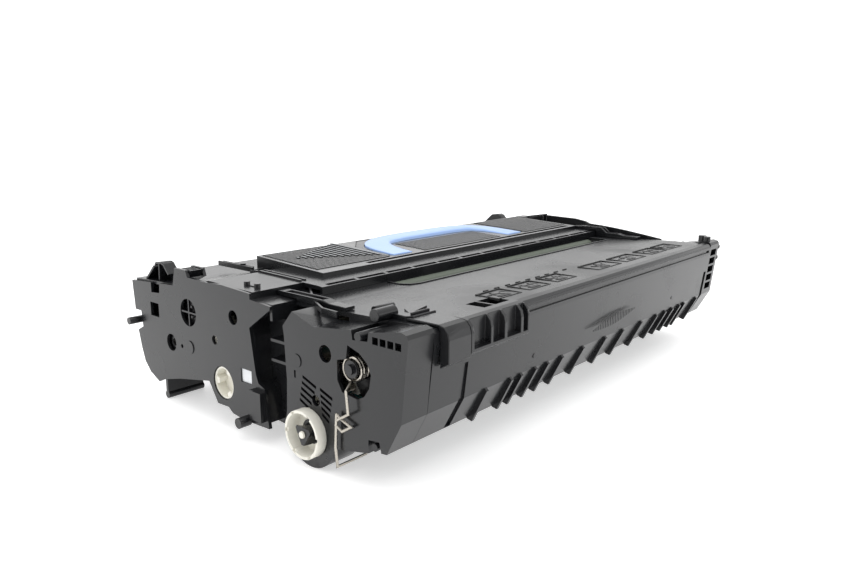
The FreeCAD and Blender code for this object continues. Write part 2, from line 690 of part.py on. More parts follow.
def drum_end_plate(label, start, direction):
    """End plate of the drum unit; direction is 1 at the near end and -1 at the far end."""
    body = new_body(label)
    depth = d.drum_cover_depth
    outline = [
        (33.6, 101), (13, 94.7), (-21, 98.9), (-22, 93), (-34.5, 94.3), (-35.5, 100),
        (-60.6, 104.6), (front_y + 1, 103.5), (front_y - 0.3, 101), (chamfer_front, d.chamfer_top),
        (chamfer_back, d.chamfer_low), (-44.5, 28.5), (-43, 35), (-34, 34), (-34, 25.5),
        (-4, 19), (d.axis_y - 22, 22), (d.axis_y, 18), (d.axis_y + 23.4, 22), (41, 54),
        (42.4, 84), (43.4, 90),
    ]
    pocket = [
        (31.5, 96.5), (13.5, 91.5), (-20, 92), (-36, 92), (-60.5, 101), (front_y + 2.7, 100),
        (chamfer_front + 2.6, d.chamfer_top + 0.7), (chamfer_back + 1.3, d.chamfer_low + 3),
        (-46, 38), (-31.5, 36.5), (-31.5, 27.4), (-2, 20.9), (d.axis_y - 19, 22),
        (d.axis_y + 20.5, 22), (38.6, 54), (39.8, 84), (40.5, 89),
    ]
    low = start if direction > 0 else start - depth
    inner = start + d.wall if direction > 0 else start - depth
    add(body, "YZ", low, depth, outline)
    add(body, "YZ", low, depth, circle(d.axis_y, d.axis_z, d.nose_radius))
    cut(body, "YZ", inner, depth - d.wall, pocket)
    deep = d.wall + 4
    outside = start if direction > 0 else start - deep
    add(body, "YZ", outside, deep, [(-37, 92), (-63, 92), (-63.5, 103), (-37, 98.6)])
    mouth = start - 1 if direction > 0 else start - deep + 1
    cut(body, "YZ", mouth, deep, *[box_outline(y, 93.6, y + 4.6, 98) for y in (-43, -49, -55, -61)])
    cut(body, "YZ", inner, depth - d.wall, circle(d.axis_y, d.axis_z, d.nose_radius - d.wall))
    pin_start = 1.2 if direction > 0 else far_face - d.wall - 1
    cut(body, "YZ", pin_start, d.wall - 0.2, circle(pivot_y, pivot_z, d.pin_radius + 0.02))
    return body


def drum_end_plate_near():
    """Near end plate with its vents, spring window and bevelled hole."""
    body = drum_end_plate("drum_end_plate_near", as_size(0), 1)
    through = d.wall + 2
    cut(body, "YZ", -1, through,
        circle(2.7, 79.5, 5.6),
        circle(12.6, 46.8, 3.7),
        circle(d.axis_y, d.axis_z, d.collar_radius - 0.35),
        box_outline(31.8, 57.5, 33.4, 62.5),
        [(-17.5, 89), (-27.5, 86), (-34, 81), (-37, 74.5), (-35.3, 66), (-31, 60), (-25, 57),
         (-12, 58.5), (-8, 65), (-8, 78), (-16, 80)])
    add(body, "YZ", -0.6, 0.6, circle(30.4, 69.3, 4.5))
    for index in range(5):
        drop = 4.0 * index
        cut(body, "YZ", -1, through,
            [(25 + 0.9 * index, 61 - drop), (12 + 1.6 * index, 56.5 - drop),
             (12 + 1.6 * index, 54.4 - drop), (25 + 0.9 * index, 58.9 - drop)],
            [(8.5 - 0.3 * index, 56.5 - drop), (-3 + 0.9 * index, 52.5 - drop),
             (-3 + 0.9 * index, 50.4 - drop), (8.5 - 0.3 * index, 54.4 - drop)])
    return body


def drum_end_plate_far():
    """Far end plate with the ladder of windows along its front edge and four knobs."""
    body = drum_end_plate("drum_end_plate_far", far_face, -1)
    for step in range(5):
        low = d.chamfer_top + 5 + 8.6 * step
        cut(body, "XY", low, 6.4,
            box_outline(far_face - 19, front_y - 8, far_face - 5, front_y + 12))
    cut(body, "YZ", far_face - d.wall - 1, d.wall + 2,
        circle(d.axis_y, d.axis_z, d.shaft_radius + 0.05))
    add(body, "YZ", far_face, 4, circle(front_y + 3, 97, 3.2), circle(front_y + 4, 86, 3))
    add(body, "XY", 100, 8.5, circle(far_face - 8, front_y + 14, 4),
        circle(far_face - 14, front_y + 7, 3.2))
    return body


def grip_cap():
    """Rounded cap over the near end of the front edge, with the latch tube on top."""
    body = new_body("grip_cap")
    clear = d.gap / 2
    stand = front_y - d.comb_stand
    top = d.drum_top
    add(body, "YZ", d.grip_cap_start, d.comb_start - d.grip_cap_start - clear, [
        (front_y - clear, d.grip_low - 4), (stand, d.grip_low), (stand, top - 6),
        (stand + 1, top - 2), (stand + 4, top + 1.4), (stand + 8, top + 2.4), (-34, top + 2.2),
        (-34, top + 0.2), (front_y + 7, top + 0.75), (front_y + 1.5, top + 0.3),
        (front_y - clear, top - 1.5)])
    return body


def grip_comb():
    """Finger grip beside the cap: four open pockets between rounded ribs."""
    body = new_body("grip_comb")
    clear = d.gap / 2
    stand = front_y - d.comb_stand
    top = d.drum_top
    add(body, "YZ", d.comb_start + clear, d.comb_length, [
        (front_y - clear, d.grip_low - 1), (stand + 2, d.grip_low), (stand, d.grip_low + 2),
        (stand, top - 6), (stand + 1, top - 2), (stand + 4, top + 1.4), (front_y + 1.5, top + 2.2),
        (front_y + 7, top + 2.2), (front_y + 7, top + 0.75), (front_y + 1.5, top + 0.3),
        (front_y - clear, top - 1.5)])
    for start, width in ((3, 16.5), (22, 12), (37, 15), (55, 5)):
        cut(body, "XY", d.grip_low + 4, 30,
            box_outline(d.comb_start + start, stand - 2, d.comb_start + start + width,
                        front_y - 2.2))
    return body


def drum_tube():
    """Coated aluminium drum, a plain tube."""
    body = new_body("drum_tube", (d.drum_start, d.axis_y, d.axis_z))
    add(body, "YZ", 0, drum_length, circle(0, 0, d.drum_radius), circle(0, 0, d.drum_radius - 1))
    return body


def gear_outline(teeth):
    """Outline of a spur gear with straight-sided teeth, the first one on the y axis."""
    count = int(round(teeth.value))
    pitch = d.gear_module * teeth / 2
    corners = [
        (pitch - d.gear_module * 1.15, -0.97), (pitch + d.gear_module * 0.8, -0.4),
        (pitch + d.gear_module * 0.8, 0.4), (pitch - d.gear_module * 1.15, 0.97),
    ]
    outline = []
    for index in range(count):
        angle = 2 * math.pi * index / count
        for reach, side in corners:
            half = d.gear_module * side
            outline.append((reach * math.cos(angle) - half * math.sin(angle),
                            reach * math.sin(angle) + half * math.cos(angle)))
    return outline


def gear_body(label, at, start, width, teeth, turn_degrees=0.0):
    """A spur gear centred on its own x axis."""
    body = new_body(label, at, FreeCAD.Rotation(Vector(1, 0, 0), turn_degrees))
    add(body, "YZ", start, width, gear_outline(teeth))
    return body


def drum_flange_near():
    """Drive flange of the drum: gear, journal and the twisted three-sided coupling."""
    start = 23.0
    body = gear_body("drum_flange_near", (0, d.axis_y, d.axis_z), start, 7, d.drum_teeth)
    add(body, "YZ", start + 7, d.drum_start - start - 7, circle(0, 0, d.drum_radius))
    add(body, "YZ", d.drum_start, 8, circle(0, 0, d.drum_radius - 1.1))
    add(body, "YZ", 1, start - 1, circle(0, 0, 8.2))
    size = 7.6
    loft = body.newObject("PartDesign::AdditiveLoft", "coupling_loft")
    profiles = []
    for level, twist in ((1.2, 0), (-2.4, 17), (-6.0, 34)):
        corners = []
        for corner in range(3):
            for side in (-9, 9):
                angle = math.radians(corner * 120 + twist + side)
                corners.append((size * math.cos(angle), size * math.sin(angle)))
        profiles.append(draw(body, "YZ", level, [corners]))
    loft.Profile = profiles[0]
    loft.Sections = profiles[1:]
    loft.Ruled = True
    body.Tip = loft
    add(body, "YZ", -7.4, 3, circle(0, 0, 1.7))
    return body


def drum_flange_far():
    """Plain flange that closes the drum's far end and turns on the far axle."""
    end = d.drum_start + drum_length
    body = new_body("drum_flange_far", (end, d.axis_y, d.axis_z))
    add(body, "YZ", 0, 4, circle(0, 0, d.drum_radius + 0.9))
    add(body, "YZ", -8, 8, circle(0, 0, d.drum_radius - 1.1))
    cut(body, "YZ", -9, 14, circle(0, 0, d.shaft_radius + 0.06))
    return body


def drum_axle_far():
    """Steel axle that the far flange turns on, held in the far end plate."""
    body = new_body("drum_axle_far", (d.drum_start + drum_length - 8, d.axis_y, d.axis_z))
    reach = far_face + 3 - (d.drum_start + drum_length - 8)
    add(body, "YZ", 0, reach, circle(0, 0, d.shaft_radius))
    soften(body, 0.6, (reach, d.shaft_radius, 0), chamfer=True)
    return body


def drum_collar():
    """White collar in the near end plate: bearing of the drum and guard of the coupling."""
    body = new_body("drum_collar", (0, d.axis_y, d.axis_z))
    add(body, "YZ", -d.collar_stand, d.collar_stand, circle(0, 0, d.collar_radius),
        circle(0, 0, d.collar_bore))
    add(body, "YZ", 0, 3, circle(0, 0, d.collar_radius - 0.4), circle(0, 0, d.collar_bore))
    add(body, "YZ", 3, 8, circle(0, 0, d.collar_radius - 0.4), circle(0, 0, 8.26))
    notch = cut(body, "YZ", -d.collar_stand, 1.4,
                box_outline(d.collar_bore - 1, -1.3, d.collar_bore + 1.6, 1.3))
    ring(body, notch, "X", 6)
    return body


def sleeve_gear():
    """Gear that drives the developer sleeve, with its journal and the plug in the sleeve."""
    turn = mesh_turn(0.0, d.sleeve_teeth.value, d.drum_teeth.value, 0.0)
    body = gear_body("sleeve_gear", (0, sleeve_y, sleeve_z), 23, 7, d.sleeve_teeth, turn)
    add(body, "YZ", 30, 12, circle(0, 0, 4))
    add(body, "YZ", 41, 7, circle(0, 0, d.sleeve_radius - 1.05))
    cut(body, "YZ", 42, 8, circle(0, 0, 2.06))
    return body


def developer_sleeve():
    """Developer sleeve: a thin tube beside the drum."""
    body = new_body("developer_sleeve", (0, sleeve_y, sleeve_z))
    add(body, "YZ", 42, far_face - 84, circle(0, 0, d.sleeve_radius), circle(0, 0, d.sleeve_radius - 1))
    return body


def sleeve_end():
    """Far plug and journal of the developer sleeve."""
    body = new_body("sleeve_end", (0, sleeve_y, sleeve_z))
    add(body, "YZ", far_face - 48, 7, circle(0, 0, d.sleeve_radius - 1.05))
    add(body, "YZ", far_face - 42, 13, circle(0, 0, 4))
    cut(body, "YZ", far_face - 49, 21, circle(0, 0, 2.06))
    return body


def magnet_core():
    """Fixed magnet inside the sleeve, on a thin steel shaft held at the far end."""
    body = new_body("magnet_core", (0, sleeve_y, sleeve_z))
    add(body, "YZ", 50, far_face - 100, circle(0, 0, 7.5))
    add(body, "YZ", 43, far_face - 67, circle(0, 0, 2))
    return body


def sleeve_bearing(label, start):
    """Bearing plate between the hopper's lip and the sleeve's journal."""
    body = new_body(label, (start, sleeve_y, sleeve_z))
    edge = d.lip_front - sleeve_y
    add(body, "YZ", 0, 5, [(-8.6, -8), (-8.6, 8), (-4, 11), (edge + 2.2, 17.4), (edge + 6, 17.4),
                           (edge + 6, -10), (edge, -10.5), (edge - 0.3, -11), (-4, -11)])
    cut(body, "YZ", -1, 7, circle(0, 0, 4.06))
    return body


def magnet_holder():
    """Cap at the far bearing that keeps the magnet's shaft from turning."""
    body = new_body("magnet_holder", (far_face - 28.7, sleeve_y, sleeve_z))
    edge = d.lip_front - sleeve_y
    add(body, "YZ", 0, 5, [(-6, -6), (-6, 6), (edge + 6, 6), (edge + 6, -10), (edge + 1, -10)],
        circle(0, 0, 2.03))
    return body


def doctor_bracket():
    """Folded steel bracket on the hopper's front shelf that carries the doctor blade."""
    body = new_body("doctor_bracket")
    add(body, "YZ", 44, far_face - 88,
        [(60.2, 44.3), (74.0, 50.2), (75.4, 78), (74.0, 78), (72.5, 51.4), (59.4, 45.6)])
    return body


def doctor_blade():
    """Thin blade that levels the toner on the sleeve."""
    body = new_body("doctor_blade")
    add(body, "YZ", 44, far_face - 88, [(59.2, 45.4), (58.3, 46.2), (49.6, 34.6), (50.6, 34.0)])
    return body


def charge_roller():
    """Soft charging roller above the drum."""
    body = new_body("charge_roller", (46, charge_y, charge_z))
    add(body, "YZ", 0, far_face - 92, circle(0, 0, d.charge_radius), circle(0, 0, d.shaft_radius + 0.02))
    return body


def charge_shaft():
    """Steel shaft of the charging roller."""
    body = new_body("charge_shaft", (31, charge_y, charge_z))
    add(body, "YZ", 0, far_face - 62, circle(0, 0, d.shaft_radius))
    return body


def charge_bearing(label, start):
    """Bearing block of the charging roller on the drum unit's inner wall."""
    body = new_body(label, (start, charge_y, charge_z))
    back = 2.3 - charge_y
    add(body, "YZ", 0, 6, [(back, 16), (back, 26.8), (back + 2.6, 26.8), (-5.2, 8), (5.2, 5), (5.2, -4.6),
                           (-5.2, -4.6)])
    cut(body, "YZ", -1, 8, circle(0, 0, d.shaft_radius + 0.06))
    return body


def charge_contact():
    """Bent contact strip that presses on the near end of the charging roller's shaft."""
    body = new_body("charge_contact", (30, charge_y, charge_z))
    add(body, "YZ", 0, 0.7, box_outline(-2.5, -3, 2.5, 24))
    return body


def blade_bracket():
    """Steel bracket of the cleaning blade on the inner wall."""
    body = new_body("blade_bracket")
    add(body, "YZ", 43, far_face - 86, box_outline(2.3, 54, 3.8, d.box_top - 20.3))
    return body


def cleaning_blade():
    """Soft blade that wipes the drum clean."""
    body = new_body("cleaning_blade")
    add(body, "YZ", 40, far_face - 80, [(2.3, 53.9), (4.3, 53.9), (6.0, 33.6), (4.6, 33.0)])
    return body


def shutter_profile(with_arm):
    """Curved section round the drum's open side, with the arm to the pivot at the ends."""
    steps = [math.radians(angle) for angle in range(200, 326, 14)]
    outer = [(d.axis_y + shutter_outer * math.cos(a), d.axis_z + shutter_outer * math.sin(a))
             for a in steps]
    inner = [(d.axis_y + shutter_inner * math.cos(a), d.axis_z + shutter_inner * math.sin(a))
             for a in reversed(steps)]
    if with_arm:
        hub = [(pivot_y + 3, pivot_z + 2.2), (pivot_y - 1, pivot_z + 3.2), (pivot_y - 3.2, pivot_z),
               (pivot_y - 1.5, pivot_z - 3)]
        return outer + inner + hub
    return outer + inner


def drum_shutter():
    """Curved shutter under the drum that swings open about the pins at its front."""
    body = new_body("drum_shutter")
    start = 23.0
    end = d.span - 23
    add(body, "YZ", start, 5, shutter_profile(True))
    add(body, "YZ", start + 5, end - start - 10, shutter_profile(False))
    add(body, "YZ", end - 5, 5, shutter_profile(True))
    cut(body, "YZ", start - 1, end - start + 2, circle(pivot_y, pivot_z, d.pin_radius + 0.08))
    return body


def shutter_pin(label, start):
    """Steel pin that the shutter swings on."""
    body = new_body(label, (start, pivot_y, pivot_z))
    add(body, "YZ", 0, 26.4, circle(0, 0, d.pin_radius))
    return body


def wire_shape(points, radius, sides):
    """Wire along straight runs, with a mitred bend at each point and a many-sided section."""
    points = [Vector(*point) for point in points]
    ahead = (points[1] - points[0]).normalize()
    across = ahead.cross(Vector(1, 0, 0)).normalize()
    other = ahead.cross(across)
    rim = []
    for index in range(sides + 1):
        angle = 2 * math.pi * index / sides
        rim.append(points[0] + across * (radius * math.cos(angle)) + other * (radius * math.sin(angle)))
    return Part.makePolygon(points).makePipeShell([Part.makePolygon(rim)], True, False, 1)


def shaped(label, shape, at):
    """A sub-part whose shape comes from curves, placed like the bodies."""
    part = doc.addObject("Part::Feature", label)
    part.Label = label
    part.Shape = shape
    place(part, [as_size(value) for value in at])
    sub_parts.append(part)
    return part


def shutter_rod():
    """Bent wire outside the near end plate: an eye at the top, a foot that it turns on."""
    radius = d.wire_radius.value
    side = -2.6
    stem = [Vector(side, -0.4, 35), Vector(side, 1.2, 12), Vector(side, 0, 0), Vector(22.4, 0, 0)]
    eye = [(side, -0.2, 34.6), (side, -4, 32.5), (side, -13, 29.5), (side, -5, 24.5),
           (side, 0.8, 27.4)]
    path = Part.makePolygon(stem)
    profile = Part.Wire(Part.makeCircle(radius, stem[0], stem[1] - stem[0]))
    shape = path.makePipeShell([profile], True, False, 1).fuse(wire_shape(eye, radius, 12))
    return shaped("shutter_rod", shape, (0, -9.0, 10.0))


def shutter_spring():
    """Torsion spring on its post: a close coil, a short upper leg and a long bent lower leg."""
    radius = d.wire_radius.value
    coil = d.spring_radius.value
    near = 2.8
    drop = -4.6
    steps = 14
    turns = int(d.spring_turns.value)
    winding = []
    for index in range(turns * steps + 1):
        angle = 2 * math.pi * index / steps
        winding.append((near + d.spring_pitch.value * index / steps, coil * math.sin(angle),
                        -coil * math.cos(angle)))
    low_leg = [(drop, 6.2, -31.8), (drop, -4.1, -25.4), (drop, -2.6, -11.2)]
    high_leg = [(near + d.spring_pitch.value * turns, 12, -coil)]
    shape = wire_shape(low_leg + winding + high_leg, radius, 8)
    return shaped("shutter_spring", shape, (0, d.spring_y, d.spring_z))


def train_gear(label, teeth):
    """One gear of the stirrer train inside the near cover."""
    y, z = gear_places[label]
    body = gear_body(label, (5, y, z), 0, d.gear_width, teeth, gear_turns[label])
    if label == "drive_gear":
        add(body, "YZ", -4, 4, circle(0, 0, 11.9))
        cut(body, "YZ", -5, 8.4, circle(0, 0, 10.7))
        lug = add(body, "YZ", -3.4, 6.8, [(7.4, -1.6), (10.9, -3.4), (10.9, 3.4), (7.4, 1.6)])
        ring(body, lug, "X", 3)
        add(body, "YZ", d.gear_width, 1.5, circle(0, 0, 4.8))
        cut(body, "YZ", drive_floor - 5, d.gear_width, circle(0, 0, d.shaft_radius + 0.06))
        return body
    add(body, "YZ", -2.2, 10.7, circle(0, 0, 4.8))
    cut(body, "YZ", -3, d.gear_width + 6, circle(0, 0, d.shaft_radius + 0.06))
    return body


def stirrer(label, gear, radius, blades):
    """Stirring shaft through the hopper with a flat paddle."""
    y, z = gear_places[gear]
    body = new_body(label, (5, y, z), FreeCAD.Rotation(Vector(1, 0, 0), blades))
    add(body, "YZ", 0, tub_end + 2 - 5, circle(0, 0, d.shaft_radius))
    add(body, "YZ", 20, tub_length - 24, box_outline(0, -0.8, radius, 0.8))
    slot = cut(body, "YZ", 32, 26, box_outline(d.shaft_radius + 2, -2, radius - 3, 2))
    row(body, slot, "X", tub_length - 90, 9)
    return body


def filler_plug():
    """Push-in plug of the toner filling hole in the hopper's far end wall."""
    body = new_body("filler_plug", (tub_end, 150, 62))
    add(body, "YZ", 0, 1.6, circle(0, 0, 16))
    add(body, "YZ", -5, 5, circle(0, 0, 13.9))
    cut(body, "YZ", -3.6, 8, circle(0, 0, 11))
    return body


def slot_seal_strip():
    """Soft grey-green strip on the hopper's front skirt, seen through the laser slot."""
    body = new_body("slot_seal_strip", (d.slot_start + d.gap, d.hopper_front, 0))
    length = d.slot_length - 2 * d.gap
    bow = [(-0.1, 98.4), (-2.6, 98), (-5, 96.6), (-6.4, 94.4), (-6.8, 92), (-6.4, 89), (-4.6, 86.6),
           (-2.4, 85.4), (-0.1, 85.2)]
    add(body, "YZ", 0, length, bow)
    return body


def joint_pin(label, start):
    """Pin that ties the drum unit to the hopper at one end."""
    body = new_body(label, (start, -28.3, 96.4))
    add(body, "YZ", 0, d.box_start + 2, circle(0, 0, 2.7))
    return body


def link_arm(label, start, deck):
    """Stepped arm from the hopper's deck that keeps the drum unit in place."""
    body = new_body(label, (start, 0, 0))
    rear = d.hopper_front - 0.3
    low = d.drum_top - 1.8
    add(body, "YZ", 0, 8.4, [
        (77.5, deck + 0.75), (rear, deck + 0.7), (rear, low), (34, low), (8, low + 1),
        (8, low + 3.2), (24, low + 3.4), (31, low + 4.8), (44, low + 4.8), (50, deck + 4),
        (77.5, deck + 4)])
    cut(body, "YZ", 1.6, 5.2, [
        (31, low + 2.6), (44, low + 2.6), (52, deck + 2.4), (70, deck + 2.4), (70, 130), (31, 130)])
    return body


def end_screws():
    """Screws that hold the two far covers."""
    body = new_body("end_screws", (far_face, 0, 0))
    for y, z in ((10, 86), (-40, 50), (100, 95), (210, 40)):
        add(body, "YZ", 0, 1.8, circle(y, z, 3.4))
        cut(body, "YZ", 1.0, 2, box_outline(y - 2.2, z - 0.4, y + 2.2, z + 0.4))
        cut(body, "YZ", 1.0, 2, box_outline(y - 0.4, z - 2.2, y + 0.4, z + 2.2))
    return body


def finish():
    """Checks every object and writes each sub-part to its own file."""
    doc.recompute()
    for thing in doc.Objects:
        if "Invalid" in thing.State or "Error" in thing.State:
            raise RuntimeError(f"{thing.Label} failed: {thing.State}")
    os.makedirs("parts", exist_ok=True)
    for part in sub_parts:
        shape = part.Shape
        if shape.isNull() or not shape.isValid():
            raise RuntimeError(f"{part.Label} has no valid shape")
        shape.exportStep(f"parts/{part.Label}.step")
        box = shape.BoundBox
        print(f"{part.Label}: {len(shape.Solids)} solid, {shape.Volume / 1000:.1f} cm3, "
              f"x {box.XMin:.1f}..{box.XMax:.1f} y {box.YMin:.1f}..{box.YMax:.1f} "
              f"z {box.ZMin:.1f}..{box.ZMax:.1f}")


hopper_tub()
hopper_top_cover()
lid_block()
carry_handle()
hopper_end_cover_near()
hopper_end_cover_far()
filler_plug()
sensor_window()
link_arm("link_arm_near", 22.6, d.deck_top - 5)
link_arm("link_arm_far", far_face - 31, d.deck_top)
slot_seal_strip()
for name, _, _, teeth in train:
    train_gear(name, teeth)
stirrer("front_stirrer", "front_stirrer_gear", 17, 200)
stirrer("rear_stirrer", "rear_stirrer_gear", 23, 140)
sleeve_gear()
developer_sleeve()
sleeve_end()
magnet_core()
magnet_holder()
sleeve_bearing("sleeve_bearing_near", 33)
sleeve_bearing("sleeve_bearing_far", far_face - 38)
doctor_bracket()
doctor_blade()
waste_box()
drum_top_cover()
grip_cap()
grip_comb()
drum_end_plate_near()
drum_end_plate_far()
end_screws()
joint_pin("joint_pin_near", -2)
joint_pin("joint_pin_far", box_end)
drum_collar()
drum_flange_near()
drum_tube()
drum_flange_far()
drum_axle_far()
charge_roller()
charge_shaft()
charge_bearing("charge_bearing_near", 36)
charge_bearing("charge_bearing_far", far_face - 42)
charge_contact()
blade_bracket()
cleaning_blade()
drum_shutter()
shutter_pin("shutter_pin_near", 1.4)
shutter_pin("shutter_pin_far", far_face - 27.8)
shutter_rod()
shutter_spring()
finish()
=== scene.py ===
# %% [markdown]
# # A wide toner cartridge
# The cartridge is a long black toner hopper with a lift-up handle, joined to a drum unit with
# a slot for the laser. The CAD model gives every form; this lesson dresses it: moulded grain,
# metal, rubber, and the small raised details that a mould leaves. The first cell loads the CAD
# model.

# %% Load the frame
import json
import math

import bmesh
import bpy
from mathutils import Matrix, Vector


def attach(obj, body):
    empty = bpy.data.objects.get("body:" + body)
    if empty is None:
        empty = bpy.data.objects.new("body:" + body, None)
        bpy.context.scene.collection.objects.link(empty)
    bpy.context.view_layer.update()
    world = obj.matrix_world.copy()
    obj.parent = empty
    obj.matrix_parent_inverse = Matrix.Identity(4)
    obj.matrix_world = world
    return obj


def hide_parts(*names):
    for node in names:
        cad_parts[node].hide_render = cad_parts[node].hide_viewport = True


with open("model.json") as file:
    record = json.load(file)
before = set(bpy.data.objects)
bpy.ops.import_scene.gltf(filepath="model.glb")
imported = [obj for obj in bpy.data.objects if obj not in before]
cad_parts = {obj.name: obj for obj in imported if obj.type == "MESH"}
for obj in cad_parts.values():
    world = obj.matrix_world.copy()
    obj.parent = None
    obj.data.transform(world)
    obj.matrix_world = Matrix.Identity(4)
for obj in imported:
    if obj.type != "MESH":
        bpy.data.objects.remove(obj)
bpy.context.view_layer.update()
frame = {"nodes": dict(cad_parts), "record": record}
print("CAD nodes:", len(frame["nodes"]))

# %% [markdown]
# ## Small helpers for nodes
# Materials are graphs of nodes. They can be drawn in the editor, but a script can be read, run
# again and compared. Three short helpers keep each step of a graph on one line.

# %% Helpers for nodes
def socket(group, name, kind, direction, value=None):
    """Adds a named input or output to a node group."""
    item = group.interface.new_socket(name=name, in_out=direction, socket_type=kind)
    if value is not None:
        item.default_value = value
    return item


def new_node(tree, kind, x, y, **settings):
    """Adds a node at a place of the node editor and sets what it is told."""
    node = tree.nodes.new(kind)
    node.location = (x, y)
    for name, value in settings.items():
        setattr(node, name, value)
    return node


def set_range(node, from_min, from_max, to_min=0.0, to_max=1.0):
    """Gives a Map Range node its four limits."""
    node.inputs["From Min"].default_value = from_min
    node.inputs["From Max"].default_value = from_max
    node.inputs["To Min"].default_value = to_min
    node.inputs["To Max"].default_value = to_max


# %% [markdown]
# ## One group for every moulded surface
# Injection-moulded plastic has a fine spark-eroded grain, a slow change of gloss from handling,
# and a trace of pale dust in the texture. The grain could be painted on each piece, but one
# shared node group keeps it the same everywhere and lets each material choose its strength.

# %% Moulded surface group
HANDLING_SIZE = 14.0
GRAIN_DEPTH = 0.0004
DUST_COLOR = (0.32, 0.31, 0.30, 1)
MOST_DUST = 0.05

moulded = bpy.data.node_groups.new("moulded_surface", "ShaderNodeTree")
socket(moulded, "Color", "NodeSocketColor", "INPUT", (0.03, 0.03, 0.03, 1))
socket(moulded, "Gloss", "NodeSocketFloat", "INPUT", 0.4)
socket(moulded, "Grain Size", "NodeSocketFloat", "INPUT", 2600.0)
socket(moulded, "Grain", "NodeSocketFloat", "INPUT", 0.15)
socket(moulded, "Color", "NodeSocketColor", "OUTPUT")
socket(moulded, "Roughness", "NodeSocketFloat", "OUTPUT")
socket(moulded, "Normal", "NodeSocketVector", "OUTPUT")
inside = new_node(moulded, "NodeGroupInput", -1100, 0)
outside = new_node(moulded, "NodeGroupOutput", 500, 0)
place = new_node(moulded, "ShaderNodeTexCoord", -1100, -300)
grain = new_node(moulded, "ShaderNodeTexNoise", -800, -300)
grain.inputs["Detail"].default_value = 3.0
handling = new_node(moulded, "ShaderNodeTexNoise", -800, 200)
handling.inputs["Scale"].default_value = HANDLING_SIZE
handling.inputs["Detail"].default_value = 5.0
spread = new_node(moulded, "ShaderNodeMapRange", -550, 200)
set_range(spread, 0.5, 0.75, -0.05, 0.09)
rough_sum = new_node(moulded, "ShaderNodeMath", -300, 200, operation="ADD", use_clamp=True)
tint = new_node(moulded, "ShaderNodeMixRGB", -100, 0, blend_type="MIX")
tint.inputs["Color2"].default_value = DUST_COLOR
dust = new_node(moulded, "ShaderNodeMapRange", -550, -20)
set_range(dust, 0.55, 0.9, 0.0, MOST_DUST)
bump = new_node(moulded, "ShaderNodeBump", 150, -300)
bump.inputs["Distance"].default_value = GRAIN_DEPTH
print("moulded_surface:", len(moulded.nodes), "nodes")

# %% [markdown]
# ## Wiring the group
# The grain becomes relief. The slow noise of handling does two things at once: it adds to the
# roughness, and where it is strongest it mixes a little dust into the colour. Two noises would
# be freer, but dust and dull gloss belong to the same places.

# %% Wiring the group
link = moulded.links.new
link(place.outputs["Object"], grain.inputs["Vector"])
link(place.outputs["Object"], handling.inputs["Vector"])
link(inside.outputs["Grain Size"], grain.inputs["Scale"])
link(handling.outputs["Fac"], spread.inputs["Value"])
link(spread.outputs["Result"], rough_sum.inputs[0])
link(inside.outputs["Gloss"], rough_sum.inputs[1])
link(handling.outputs["Fac"], dust.inputs["Value"])
link(dust.outputs["Result"], tint.inputs["Fac"])
link(inside.outputs["Color"], tint.inputs["Color1"])
link(inside.outputs["Grain"], bump.inputs["Strength"])
link(grain.outputs["Fac"], bump.inputs["Height"])
link(tint.outputs["Color"], outside.inputs["Color"])
link(rough_sum.outputs["Value"], outside.inputs["Roughness"])
link(bump.outputs["Normal"], outside.inputs["Normal"])
print("moulded_surface:", len(moulded.links), "links")

# %% [markdown]
# ## A material for moulded plastic and rubber
# Every plastic here is the same shader with its own colour, gloss and grain. A material could
# be drawn up for each by hand, but a function that places the shared group keeps them alike.
# What is the same all over the surface, such as the coat, is set on the shader itself.

# %% Moulded material
COAT_ROUGHNESS = 0.12


def shader_of(material):
    """The Principled shader of a material."""
    return next(node for node in material.node_tree.nodes if node.type == "BSDF_PRINCIPLED")


def moulded_material(name, color, gloss, grain_size=2600.0, grain_strength=0.15, coat=0.0,
                     metallic=0.0, specular=0.5):
    """A material that takes its colour, roughness and normal from the shared group."""
    material = bpy.data.materials.new(name)
    material.use_nodes = True
    shader = shader_of(material)
    shader.inputs["Metallic"].default_value = metallic
    shader.inputs["Specular IOR Level"].default_value = specular
    shader.inputs["Coat Weight"].default_value = coat
    shader.inputs["Coat Roughness"].default_value = COAT_ROUGHNESS
    group = new_node(material.node_tree, "ShaderNodeGroup", -350, 0)
    group.node_tree = moulded
    group.inputs["Color"].default_value = (*color, 1)
    group.inputs["Gloss"].default_value = gloss
    group.inputs["Grain Size"].default_value = grain_size
    group.inputs["Grain"].default_value = grain_strength
    join = material.node_tree.links.new
    join(group.outputs["Color"], shader.inputs["Base Color"])
    join(group.outputs["Roughness"], shader.inputs["Roughness"])
    join(group.outputs["Normal"], shader.inputs["Normal"])
    material.diffuse_color = (*color, 1)
    return material


# %% [markdown]
# ## A material for drawn wire
# The rod, the spring and the pins are drawn wire, with fine lines along their length. The lines
# could come from an image; noise stretched along the part does the same at any scale.

